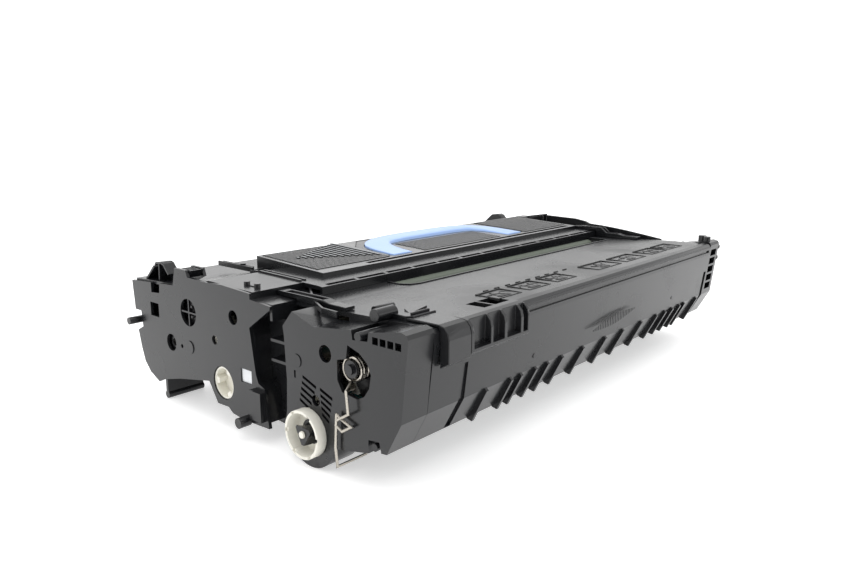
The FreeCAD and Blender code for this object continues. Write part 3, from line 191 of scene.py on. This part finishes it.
# %% Brushed metal
def brushed_material(name, color, rough, stretch=(8.0, 900.0, 900.0)):
    """A metal whose roughness and fine relief follow noise stretched along the part."""
    material = bpy.data.materials.new(name)
    material.use_nodes = True
    tree = material.node_tree
    shader = shader_of(material)
    shader.inputs["Base Color"].default_value = (*color, 1)
    shader.inputs["Metallic"].default_value = 1.0
    coordinate = new_node(tree, "ShaderNodeTexCoord", -1000, 0)
    mapping = new_node(tree, "ShaderNodeMapping", -800, 0)
    mapping.inputs["Scale"].default_value = stretch
    noise = new_node(tree, "ShaderNodeTexNoise", -600, 0)
    noise.inputs["Scale"].default_value = 1.0
    ramp = new_node(tree, "ShaderNodeMapRange", -400, 0)
    set_range(ramp, 0.0, 1.0, rough - 0.08, rough + 0.12)
    lines = new_node(tree, "ShaderNodeBump", -200, -200)
    lines.inputs["Strength"].default_value = 0.08
    lines.inputs["Distance"].default_value = 0.0002
    join = tree.links.new
    join(coordinate.outputs["Object"], mapping.inputs["Vector"])
    join(mapping.outputs["Vector"], noise.inputs["Vector"])
    join(noise.outputs["Fac"], ramp.inputs["Value"])
    join(ramp.outputs["Result"], shader.inputs["Roughness"])
    join(noise.outputs["Fac"], lines.inputs["Height"])
    join(lines.outputs["Normal"], shader.inputs["Normal"])
    material.diffuse_color = (*color, 1)
    return material


# %% [markdown]
# ## The finishes of this cartridge
# Black ABS with a satin gloss makes the housings, cream acetal the gears and the drive collar,
# pale blue ABS the handle. The drum has a green coating under a clear one, the sleeve a matt
# dark one, and a grey-green foam strip lies in the laser's slot. The black is a very deep one,
# because nearly all that the eye sees of it is the reflected studio.

# %% Materials
BLACK = (0.009, 0.0095, 0.0108)
materials = {
    "black_plastic": moulded_material("black_plastic", BLACK, 0.29, 2400, 0.05, coat=0.10,
                                      specular=0.38),
    "white_plastic": moulded_material("white_plastic", (0.80, 0.78, 0.70), 0.38, 1500, 0.05),
    "grey_plastic": moulded_material("grey_plastic", (0.20, 0.21, 0.22), 0.42, 2000, 0.08),
    "blue_plastic": moulded_material("blue_plastic", (0.33, 0.50, 0.86), 0.36, 1800, 0.03,
                                     coat=0.1),
    "clear_white": moulded_material("clear_white", (0.72, 0.74, 0.76), 0.30, 1800, 0.05,
                                    coat=0.2),
    "steel": brushed_material("steel", (0.46, 0.43, 0.38), 0.26),
    "drum_coating": moulded_material("drum_coating", (0.03, 0.20, 0.21), 0.16, 600, 0.01,
                                     coat=0.7),
    "sleeve_coating": moulded_material("sleeve_coating", (0.05, 0.05, 0.055), 0.45, 4000, 0.2,
                                       metallic=0.7),
    "magnet": moulded_material("magnet", (0.05, 0.048, 0.045), 0.6, 1500, 0.1),
    "soft_seal": moulded_material("soft_seal", (0.125, 0.145, 0.115), 0.6, 1800, 0.3),
    "dark_rubber": moulded_material("dark_rubber", (0.018, 0.018, 0.019), 0.55, 2500, 0.12),
}
print("materials:", ", ".join(materials))

# %% [markdown]
# ## The lid's painted sheen
# Hands rest on the ribbed pads beside the handle. Their tops are painted a paler grey: a painted
# sheen that stands in for the light the pads catch from above. A second piece could lie on every
# rib; the direction of the face tells the same, so faces that look up mix towards the grey of the
# painted sheen and all others stay black.

# %% Lid with painted sheen
# Painted sheen: faces that look up are mixed towards this paler grey, standing in for the light
# that the pad tops catch.
PAINTED_SHEEN_GREY = (0.042, 0.043, 0.045, 1)
lid_plastic = moulded_material("ribbed_lid_plastic", BLACK, 0.30, 2400, 0.04, coat=0.2)
lid_tree = lid_plastic.node_tree
facing = new_node(lid_tree, "ShaderNodeNewGeometry", -1100, 0)
parts_of_normal = new_node(lid_tree, "ShaderNodeSeparateXYZ", -900, 0)
upward = new_node(lid_tree, "ShaderNodeMapRange", -700, 0)
set_range(upward, 0.80, 0.98)
# Painted sheen: this mix lightens the upward faces of the lid.
painted_sheen = new_node(lid_tree, "ShaderNodeMixRGB", -520, 0)
painted_sheen.inputs["Color1"].default_value = (*BLACK, 1)
painted_sheen.inputs["Color2"].default_value = PAINTED_SHEEN_GREY
lid_group = next(node for node in lid_tree.nodes if node.type == "GROUP")
lid_tree.links.new(facing.outputs["Normal"], parts_of_normal.inputs["Vector"])
lid_tree.links.new(parts_of_normal.outputs["Z"], upward.inputs["Value"])
lid_tree.links.new(upward.outputs["Result"], painted_sheen.inputs["Fac"])
lid_tree.links.new(painted_sheen.outputs["Color"], lid_group.inputs["Color"])
print("ribbed_lid_plastic:", len(lid_tree.nodes), "nodes")

# %% [markdown]
# ## Dressing the CAD pieces
# The CAD edges are mathematically sharp, and no mould makes them so. A small bevel could be
# built into every form, but a modifier gives each edge the same soft line and leaves the CAD
# mesh as it is. Wire and gears are too fine for it and stay as they are.

# %% Dress the CAD nodes
EDGE_SOFTNESS = 0.0006
RIB_SOFTNESS = 0.00012
WELD_REACH = 0.000005
fine = {"shutter_spring", "shutter_rod", "charge_contact", "end_screws", "filler_plug",
        "drum_tube", "developer_sleeve", "magnet_core", "charge_roller", "charge_shaft"}
softened = 0
for entry in frame["record"]["subparts"]:
    node = frame["nodes"][entry["node"]]
    ribbed = entry["node"] == "lid_block"
    node.data.materials.clear()
    node.data.materials.append(lid_plastic if ribbed else materials[entry["material_slot"]])
    weld = node.modifiers.new("weld", "WELD")
    weld.merge_threshold = WELD_REACH
    if entry["node"] not in fine and "gear" not in entry["node"]:
        bevel = node.modifiers.new("soft_edges", "BEVEL")
        bevel.width = RIB_SOFTNESS if ribbed else EDGE_SOFTNESS
        bevel.segments = 2
        bevel.limit_method = "ANGLE"
        bevel.angle_limit = math.radians(32)
        bevel.harden_normals = True
        bevel.use_clamp_overlap = True
        softened += 1
print("nodes with soft edges:", softened)

# %% [markdown]
# ## Helpers for raised details
# Shallow raised details are small bars and thin walls. Each could be an object, but one mesh for
# each kind keeps the scene tidy. A bar is a cube, stretched and moved. A freer form grows from
# one face, which is extruded again and again, each time onto the next ring of points. Blender
# leaves the face that it extrudes in place. The first one closes the form, and each later one
# is deleted, because it would be a wall inside. Sizes are in millimetres from the near end, as
# on the CAD.

# %% Helpers for raised details
MIDDLE_X = 232.5
MIDDLE_Y = 83.25
HALF_CUBE = Matrix.Translation((0.5, 0.5, 0.5))


def at(x, y, z):
    """A point given in millimetres from the near end, as metres in the frame."""
    return Vector((x - MIDDLE_X, y - MIDDLE_Y, z)) / 1000


def bar(mesh, x0, x1, y0, y1, z0, z1, slope=0.0):
    """One box-shaped bar; slope lifts it along y like the surface under it."""
    cube = bmesh.ops.create_cube(mesh, size=1.0)
    low_corner = at(x0, y0, z0)
    stretch = Matrix.Diagonal((*(at(x1, y1, z1) - low_corner), 1))
    lift = Matrix.Identity(4)
    lift[2][1] = slope
    whole = Matrix.Translation(low_corner) @ lift @ stretch @ HALF_CUBE
    bmesh.ops.transform(mesh, matrix=whole, verts=cube["verts"])


def grow(mesh, rings):
    """A closed form: the first ring becomes a face, which is extruded onto each next ring."""
    cap = mesh.faces.new([mesh.verts.new(point) for point in rings[0]])
    for number, ring in enumerate(rings[1:]):
        made = bmesh.ops.extrude_face_region(mesh, geom=[cap])
        if number > 0:
            bmesh.ops.delete(mesh, geom=[cap], context="FACES_ONLY")
        cap = next(item for item in made["geom"] if isinstance(item, bmesh.types.BMFace))
        for vert, point in zip(cap.verts, ring):
            vert.co = point


# %% [markdown]
# ## From a mesh to a piece of the cartridge
# A finished mesh needs an object, a material and softened edges. It also rides on the body that
# carries it, so that it moves with its joint. One function does all of it in the same order.

# %% Helper for pieces
def piece(name, mesh, body, slot, bevel=0.00025):
    """Turns a bmesh into a dressed object that rides on a body."""
    data = bpy.data.meshes.new(name)
    bmesh.ops.recalc_face_normals(mesh, faces=mesh.faces)
    mesh.to_mesh(data)
    mesh.free()
    thing = bpy.data.objects.new(name, data)
    bpy.context.collection.objects.link(thing)
    data.materials.append(materials[slot])
    if bevel:
        soft = thing.modifiers.new("soft_edges", "BEVEL")
        soft.width = bevel
        soft.segments = 2
        soft.limit_method = "ANGLE"
    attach(thing, body)
    print(name, "on", body, "with", len(data.polygons), "faces")
    return thing


# %% [markdown]
# ## The handle's outline
# The real handle is a crescent with a domed top and a scooped inner wall. A few points give its
# outer and inner edge on one side. A curve through them makes the edges smooth, and its mirror
# image gives the other side.

# %% The handle's outline
HANDLE_MIDDLE = 251.5
ARM_END = 93.0
STEPS_BETWEEN = 4
OUTER_EDGE = ((95, 93), (94.5, 108), (93, 122), (88.5, 134), (79, 144), (64, 151.5), (44, 156),
              (22, 157.6), (0, 158))
INNER_EDGE = ((73, 93), (72, 104), (70.5, 113), (68, 121), (64, 127.5), (57, 132.5), (40, 135.2),
              (20, 136), (0, 136))


def smooth(points, steps):
    """Points of a curve through the given points, evenly many in each stretch."""
    curve = []
    for index in range(len(points) - 1):
        before = points[max(index - 1, 0)]
        start, end = points[index], points[index + 1]
        after = points[min(index + 2, len(points) - 1)]
        for step in range(steps):
            t = step / steps
            curve.append(tuple(0.5 * (2 * b + (c - a) * t + (2 * a - 5 * b + 4 * c - e) * t * t
                                      + (3 * b - a - 3 * c + e) * t ** 3)
                               for a, b, c, e in zip(before, start, end, after)))
    return curve + [points[-1]]


def mirrored(curve):
    """The curve of one side, followed back on the other side."""
    return [(-x, y) for x, y in curve] + [(x, y) for x, y in reversed(curve[:-1])]


outer_edge = mirrored(smooth(OUTER_EDGE, STEPS_BETWEEN))
inner_edge = mirrored(smooth(INNER_EDGE, STEPS_BETWEEN))
print("stations along the handle:", len(outer_edge))

# %% [markdown]
# ## The handle
# The solid has the handle's outline and its pins in straight facets. The soft form could be
# sculpted, but a section that travels along the crescent gives it exactly: each ring joins a
# point of the outer edge to one of the inner edge over a dome, and ends down the scooped wall.

# %% The handle
ACROSS = 12
UNDERSIDE = 108.3
HIGHEST = 118.0
DOME_AT_ARMS = 0.5
DOME_AT_BOW = 2.6
BOW_REACH = 60.0
SCOOP = ((0.5, 113.4), (1.2, 111.2), (1.6, 108.4))
LID_SLOPE = 4.0 / 81.0


def lid_top(y):
    """Height of the block's sloping top in millimetres."""
    return 110.0 + LID_SLOPE * (y - 80.0)


handle_rings = []
for (ox, oy), (ix, iy) in zip(outer_edge, inner_edge):
    towards_bow = max(0.0, min(1.0, (oy - ARM_END) / BOW_REACH))
    bulge = DOME_AT_ARMS + DOME_AT_BOW * towards_bow ** 1.5
    ring = [at(HANDLE_MIDDLE + ox, oy, UNDERSIDE)]
    for step in range(ACROSS + 1):
        s = step / ACROSS
        x, y = ox + (ix - ox) * s, oy + (iy - oy) * s
        dome = math.sin(math.pi * min(1.0, 0.12 + 0.80 * s)) ** 0.7
        height = min(HIGHEST, lid_top(oy + (iy - oy) * s * 0.4) + 0.5 + bulge * dome)
        ring.append(at(HANDLE_MIDDLE + x, y, height))
    wall_top = lid_top(iy) + 0.5 + bulge * 0.3
    for lean, height in SCOOP:
        pull = 1 + lean / math.hypot(ox - ix, oy - iy)
        ring.append(at(HANDLE_MIDDLE + ox + (ix - ox) * pull, oy + (iy - oy) * pull,
                       min(height, wall_top)))
    handle_rings.append(ring)
crescent = bmesh.new()
grow(crescent, handle_rings)
handle = piece("handle_crescent", crescent, "handle", "blue_plastic", 0.0005)
for face in handle.data.polygons:
    face.use_smooth = True
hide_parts("carry_handle")

# %% [markdown]
# ## Corners of the handle's bed
# Between the round crescent and the straight bed a corner is left open. A cover plate could be
# cut to fit, but short blocks between the crescent's edge and the bed's edge follow the curve by
# themselves.

# %% Corners of the bed
BED_EDGE = 95.6
BED_BEND = 138.6
CRESCENT_GAP = 0.9
BED_FLOOR = 108.5
corners = bmesh.new()
for mirror in (-1, 1):
    edge = [(x, y) for x, y in smooth(OUTER_EDGE, STEPS_BETWEEN) if 118 < y < 157.2]
    bed = [min(BED_EDGE, BED_EDGE - max(0.0, y - BED_BEND)) for x, y in edge]
    for (x0, y0), (x1, y1), b0, b1 in zip(edge, edge[1:], bed, bed[1:]):
        if b0 - x0 < 1.2:
            continue
        quad = [(x0 + CRESCENT_GAP, y0), (b0, y0), (b1, y1), (x1 + CRESCENT_GAP, y1)]
        grow(corners, [[at(HANDLE_MIDDLE + mirror * x, y, BED_FLOOR) for x, y in quad],
                       [at(HANDLE_MIDDLE + mirror * x, y, lid_top(y)) for x, y in quad]])
piece("bed_corners", corners, "housing", "black_plastic", 0.0)

# %% [markdown]
# ## Painted highlights on the arrow's ribs
# The ribs of the arrow on the near pad stand higher than the others and catch the light. A thin
# grey strip on each lifts the rib and paints that highlight. A mask could paint it too, but a
# strip gives the painted highlight a real edge.

# %% Arrow ribs with painted highlights
ARROW_START = 84.0
ARROW_MIDDLE = 131.0
RIB_PITCH = 5.6
# Painted highlight: the grey of these strips stands in for the light that the raised ribs catch;
# the strips also lift the ribs a little.
arrow = bmesh.new()
for index in range(12):
    x = ARROW_START + RIB_PITCH * index
    half = 1.3 + 2.6 * index
    y = ARROW_MIDDLE - half
    bar(arrow, x + 0.2, x + 2.2, y, ARROW_MIDDLE + half, lid_top(y) + 0.9, lid_top(y) + 1.18,
        LID_SLOPE)
piece("arrow_painted_highlights", arrow, "housing", "grey_plastic", 0.0)

# %% [markdown]
# ## The coupling's tip
# The black coupling turns on a pale pin whose end shows in the middle of the collar. A cone that
# is hardly narrower at one end gives the pin its draft, as the mould does.

# %% Coupling tip
ON_ITS_SIDE = Matrix.Rotation(math.radians(90), 3, "Y")
tip = bmesh.new()
made = bmesh.ops.create_cone(tip, cap_ends=True, segments=32, radius1=0.0022, radius2=0.0025,
                             depth=0.0014)
bmesh.ops.rotate(tip, verts=made["verts"], matrix=ON_ITS_SIDE)
bmesh.ops.translate(tip, verts=made["verts"], vec=at(-6.75, 19.5, 24.0))
piece("coupling_tip", tip, "drum", "white_plastic", 0.0002)

# %% [markdown]
# ## Gussets on the roof
# A pocketed gusset stands on each end of the hopper's roof. It is all thin walls, so each wall
# is an outline, drawn as seen from the end and extruded across.

# %% Roof gussets
SPAN = 470.0
GUSSET_WALL = [(228.5, 94), (212.5, 108.5), (208.8, 111.6), (200.2, 112.6), (197.0, 111.4),
               (190.0, 104), (184, 96.5), (192, 94)]
GUSSET_RIBS = (
    [(228.5, 94), (212.5, 108.5), (210.9, 107.3), (225.8, 94)],
    [(200.2, 112.6), (197.0, 111.4), (190.0, 104), (191.4, 103.2), (197.8, 109.9),
     (200.8, 111.1)],
    [(211.0, 109.6), (208.8, 111.6), (200.2, 112.6), (200.5, 111.0), (208.2, 110.1),
     (209.8, 108.6)],
    [(205.4, 95), (204.0, 95), (203.2, 111.0), (204.6, 111.0)],
)


def slab(mesh, outline, start, end, along="x"):
    """An outline of two coordinates extruded from start to end along x or z."""
    rings = []
    for level in (start, end):
        rings.append([at(level, *pair) if along == "x" else at(*pair, level) for pair in outline])
    grow(mesh, rings)


def roof_gusset(name, near):
    """A pocketed gusset, at the near end or mirrored to the far end."""
    gusset = bmesh.new()
    start, middle, end = (x if near else SPAN - x for x in (5.0, 13.0, 14.6))
    slab(gusset, GUSSET_WALL, middle, end)
    for outline in GUSSET_RIBS:
        slab(gusset, outline, start, middle)
    piece(name, gusset, "housing", "black_plastic", 0.0003)


roof_gusset("roof_gusset", True)
roof_gusset("roof_gusset_far", False)

# %% [markdown]
# ## The pivot barrel
# A round barrel with a bent arm stands beside the grip at the near end. The barrel is a cylinder
# laid along the cartridge; the arm is an outline seen from above, with a smaller one on top.

# %% Pivot barrel
BARREL_START, BARREL_END = 14.0, 31.0
BARREL_RADIUS = 4.1


def cylinder(mesh, centre, radius, length, sides, turn=None):
    """A closed cylinder in millimetres around a centre, upright unless it is turned."""
    made = bmesh.ops.create_cone(mesh, cap_ends=True, segments=sides, radius1=radius / 1000,
                                 radius2=radius / 1000, depth=length / 1000)
    if turn is not None:
        bmesh.ops.rotate(mesh, verts=made["verts"], matrix=turn)
    bmesh.ops.translate(mesh, verts=made["verts"], vec=at(*centre))


pivot = bmesh.new()
cylinder(pivot, ((BARREL_START + BARREL_END) / 2, -26.0, 105.4), BARREL_RADIUS,
         BARREL_END - BARREL_START, 28, ON_ITS_SIDE)
bar(pivot, 16.0, 30.0, -27.0, -25.0, 101.5, 104.6)
slab(pivot, [(27, -22.5), (33, -23.5), (34.5, -36), (49, -38), (50.5, -43.5), (30, -43),
             (26.5, -40)], 101.3, 105.2, "z")
slab(pivot, [(30.5, -40.5), (47.5, -41), (46.5, -39.8), (32, -38.5)], 105.0, 106.6, "z")
piece("pivot_barrel", pivot, "housing", "black_plastic", 0.0005)

# %% [markdown]
# ## Low walls on the cover
# At the far end a low wall climbs from the drum cover to the handle's block, near the drive end
# a narrow lip turns across the cover, and a rim runs round the laser's slot. Each could be many
# bars; a section that grows along a path turns its corners without a gap.

# %% Low walls
SLOT_RIM_TOP = 100.9
LIP_TOP = 103.6


def fence(mesh, path, thick, foot):
    """A thin wall along points (x, y, top) in millimetres, standing on the height foot."""
    rings = []
    for index, (x, y, top) in enumerate(path):
        before, after = path[max(index - 1, 0)], path[min(index + 1, len(path) - 1)]
        along = Vector((after[0] - before[0], after[1] - before[1])).normalized() * thick / 2
        left, right = (x - along.y, y + along.x), (x + along.y, y - along.x)
        rings.append([at(*left, foot), at(*left, top), at(*right, top), at(*right, foot)])
    grow(mesh, rings)


low_walls = bmesh.new()
fence(low_walls, [(454, -12, 101.9), (454, 5, 104.4), (454, 28, 107.6), (454, 42, 109.2),
                  (454, 58, 110.6), (454, 72, 111.4), (459, 80, 112.9), (462, 95, 114.6),
                  (462, 133, 115.7)], 2.4, 99.0)
fence(low_walls, [(458, 174, 109.2), (458, 136, 115.4)], 2.0, 104.0)
fence(low_walls, [(463, 174, 110.6), (463, 134, 117.2)], 2.0, 104.0)
fence(low_walls, [(438, 78, 109.6), (446, 78, 109.6)], 9.0, 101.0)
fence(low_walls, [(x, y, LIP_TOP) for x, y in
                  ((47, 72), (40, 62), (24, 40), (13, 19), (12, 4))], 1.6, 99.5)
fence(low_walls, [(x, y, SLOT_RIM_TOP) for x, y in
                  ((109.4, 55), (109.4, 42), (113.4, 35.8), (122, 33.2), (418, 33.2),
                   (422.8, 37.6), (422.8, 55))], 1.3, 99.2)
piece("low_walls", low_walls, "housing", "black_plastic", 0.0003)

# %% [markdown]
# ## The roof latch
# Two bars, a cross bar and a round pin stand on the near roof, where the block begins. They are
# simple forms, so cubes and one cylinder make them.

# %% Roof latch
ROOF = 103.0
roof_latch = bmesh.new()
bar(roof_latch, 56.0, 57.6, 152, 200, ROOF, 107.0)
bar(roof_latch, 60.4, 62.0, 158, 200, ROOF, 106.4)
bar(roof_latch, 54.0, 66.0, 150, 153, ROOF, 105.4)
cylinder(roof_latch, (59.0, 169.0, 106.0), 2.3, 4.0, 20)
piece("roof_latch", roof_latch, "housing", "black_plastic", 0.0003)

# %% [markdown]
# ## Plain marks on the drum unit
# The cover carries a row of shallow raised frames. One frame could be copied along the row, but
# moulded frames are seldom all alike. Each gets a slab and a few strokes of its own, at an angle
# that changes from one to the next, so the row looks made and stays plain.

# %% One frame
COVER_TOP = 101.9
MARK_FOOT = COVER_TOP - 0.8
MARK_TOP = COVER_TOP + 0.75
FRAME_EDGE = 1.0
STROKE_WIDTH = 1.1
MARKS_Y = (-48.0, -28.0)
MARKS_X = ((110, 138), (148, 176), (186, 214), (250, 290), (300, 338), (352, 384), (390, 420))


def stroke(mesh, start, end, width, low, high):
    """A straight stroke between two points of the cover, in millimetres."""
    cube = bmesh.ops.create_cube(mesh, size=1.0)
    run = at(*end, low) - at(*start, low)
    middle = (at(*start, low) + at(*end, high)) / 2
    turn_it = Matrix.Rotation(math.atan2(run.y, run.x), 4, "Z")
    stretch = Matrix.Diagonal((run.length, width / 1000, (high - low) / 1000, 1))
    bmesh.ops.transform(mesh, matrix=Matrix.Translation(middle) @ turn_it @ stretch,
                        verts=cube["verts"])


def plain_frame(mesh, x0, x1, y0, y1, turn):
    """One raised frame with a slab and five strokes in it."""
    edge = FRAME_EDGE
    bar(mesh, x0, x1, y0, y0 + edge, MARK_FOOT, MARK_TOP)
    bar(mesh, x0, x1, y1 - edge, y1, MARK_FOOT, MARK_TOP)
    bar(mesh, x0, x0 + edge, y0 + edge, y1 - edge, MARK_FOOT, MARK_TOP)
    bar(mesh, x1 - edge, x1, y0 + edge, y1 - edge, MARK_FOOT, MARK_TOP)
    centre_x, centre_y = (x0 + x1) / 2, (y0 + y1) / 2
    bar(mesh, centre_x - 7, centre_x + 5, y0 + 3, y0 + 6.5, MARK_FOOT, MARK_TOP - 0.1)
    for index in range(5):
        angle = turn + index * 1.25
        reach = 3.4 + 0.7 * (index % 3)
        middle = (centre_x - 8 + 4.2 * index, centre_y + 1.5 + 1.3 * math.sin(angle * 2))
        half = (reach * math.cos(angle), reach * math.sin(angle))
        stroke(mesh, (middle[0] - half[0], middle[1] - half[1]),
               (middle[0] + half[0], middle[1] + half[1]), STROKE_WIDTH, MARK_FOOT,
               MARK_TOP - 0.2 - 0.05 * index)


# %% [markdown]
# ## The row of frames
# Seven frames and nine short dashes stand along the cover. They could be seven objects, but one
# mesh is moulded as one piece with one material.

# %% The row of frames
marks = bmesh.new()
for index, (x0, x1) in enumerate(MARKS_X):
    plain_frame(marks, x0, x1, *MARKS_Y, 0.7 * index)
for index in range(9):
    x = 124.0 + 13.5 * index
    bar(marks, x, x + 5, -25.5, -24.2, MARK_FOOT, COVER_TOP + 0.5)
piece("raised_marks", marks, "housing", "dark_rubber", 0.0)

# %% [markdown]
# ## Marks on the front wall
# A long patch of shallow texture is moulded into the front wall. A bump in the material would
# vanish in profile, so it is real hatching in the form of a lens, a twentieth of a millimetre
# proud.

# %% Front wall marks
FRONT_WALL = -66.0
HATCH_LINES = 26
HATCH_PITCH = 2.8
HATCH_REACH = 3.4
front_marks = bmesh.new()
for index in range(HATCH_LINES):
    x = 211.0 + HATCH_PITCH * index
    middle = 62.5 + 0.21 * index
    reach = HATCH_REACH * math.sin(math.pi * (index + 1) / (HATCH_LINES + 1))
    bar(front_marks, x, x + 0.6, FRONT_WALL - 0.05, FRONT_WALL + 0.4, middle - reach - 0.4,
        middle + reach)
piece("front_marks", front_marks, "housing", "black_plastic", 0.0)

# %% [markdown]
# ## The floor
# The object stands on a pale floor. A white floor under plain lamps would still look grey beside
# the white of the photograph. A little light of its own lifts it to white, and it keeps the
# object's soft shadow.

# %% Floor
FLOOR_SIZE = 12.0
FLOOR_GLOW = 0.5
floor_material = bpy.data.materials.new("floor")
floor_material.use_nodes = True
floor_shader = shader_of(floor_material)
floor_shader.inputs["Base Color"].default_value = (0.86, 0.86, 0.86, 1)
floor_shader.inputs["Roughness"].default_value = 0.55
floor_shader.inputs["Emission Color"].default_value = (1, 1, 1, 1)
floor_shader.inputs["Emission Strength"].default_value = FLOOR_GLOW
bpy.ops.mesh.primitive_plane_add(size=FLOOR_SIZE, location=(0, 0, 0))
floor = bpy.context.object
floor.name = "floor"
floor.data.materials.append(floor_material)
print("floor:", FLOOR_SIZE, "m wide")

# %% [markdown]
# ## The lamps
# Broad soft lamps stand above, at the drive side, behind and in front. A hard lamp would put
# small bright spots on satin plastic; a wide one gives a slow gradient.

# %% Lamps
def area_light(name, place_at, look_at, size, power):
    """A rectangular lamp that faces a point."""
    data = bpy.data.lights.new(name, "AREA")
    data.shape = "RECTANGLE"
    data.size = size[0]
    data.size_y = size[1]
    data.energy = power
    lamp = bpy.data.objects.new(name, data)
    bpy.context.collection.objects.link(lamp)
    lamp.location = place_at
    lamp.rotation_euler = (Vector(look_at) - Vector(place_at)).to_track_quat("-Z", "Y").to_euler()
    print(name, "of", power, "W")
    return lamp


key = area_light("key_light", (-0.3, -0.5, 1.5), (0, 0, 0.05), (1.4, 1.4), 9)
side = area_light("side_light", (-1.5, 0.5, 0.7), (0, 0, 0.05), (0.9, 0.9), 3)
back = area_light("back_light", (0.9, 1.2, 0.9), (0, 0, 0.1), (1.2, 0.8), 2)
front = area_light("front_light", (0.4, -1.6, 0.5), (0.1, 0, 0.05), (1.6, 0.6), 3)

# %% [markdown]
# ## The sky
# Black plastic shows what it reflects. An even sky would wash it out, so this one is white
# behind the object and dims slowly towards the dark side of the room, by its direction alone.

# %% Sky
BRIGHT_SIDE = (0.58, 0.50, 0.64)
DIM_STRENGTH = 0.28
BRIGHT_STRENGTH = 1.05
world = bpy.data.worlds.new("studio")
world.use_nodes = True
sky = world.node_tree
direction = new_node(sky, "ShaderNodeTexCoord", -800, 0)
brightness = new_node(sky, "ShaderNodeVectorMath", -600, 0, operation="DOT_PRODUCT")
brightness.inputs[1].default_value = BRIGHT_SIDE
fall = new_node(sky, "ShaderNodeMapRange", -400, 0, interpolation_type="SMOOTHSTEP")
set_range(fall, -0.75, 0.35, DIM_STRENGTH, BRIGHT_STRENGTH)
sky.links.new(direction.outputs["Generated"], brightness.inputs[0])
sky.links.new(brightness.outputs["Value"], fall.inputs["Value"])
sky.links.new(fall.outputs["Result"], sky.nodes["Background"].inputs["Strength"])
sky.nodes["Background"].inputs["Color"].default_value = (1, 1, 1, 1)
bpy.context.scene.world = world
print("sky from", DIM_STRENGTH, "to", BRIGHT_STRENGTH)

# %% [markdown]
# ## The camera
# The camera stands low at the drive end and looks along the cartridge. Its place, its two
# directions and its lens were solved from the edges of the object in the photograph. They could
# be turned by hand until the picture fits, but solved values keep every proportion true.

# %% Camera
CAMERA_PLACE = Vector((-0.5117, -0.4056, 0.2120))
LENS = 30.7
right = Vector((0.658, -0.753, 0.0)).normalized()
ahead = Vector((0.737, 0.644, -0.2045)).normalized()
above = right.cross(ahead).normalized()
camera_data = bpy.data.cameras.new("camera")
camera_data.lens = LENS
camera_data.sensor_width = 36.0
camera = bpy.data.objects.new("camera", camera_data)
bpy.context.collection.objects.link(camera)
turn = Matrix((right, above, -ahead)).transposed().to_4x4()
camera.matrix_world = Matrix.Translation(CAMERA_PLACE) @ turn
bpy.context.scene.camera = camera
bpy.context.scene.view_settings.view_transform = "Standard"
print("camera at", [round(value, 3) for value in CAMERA_PLACE])
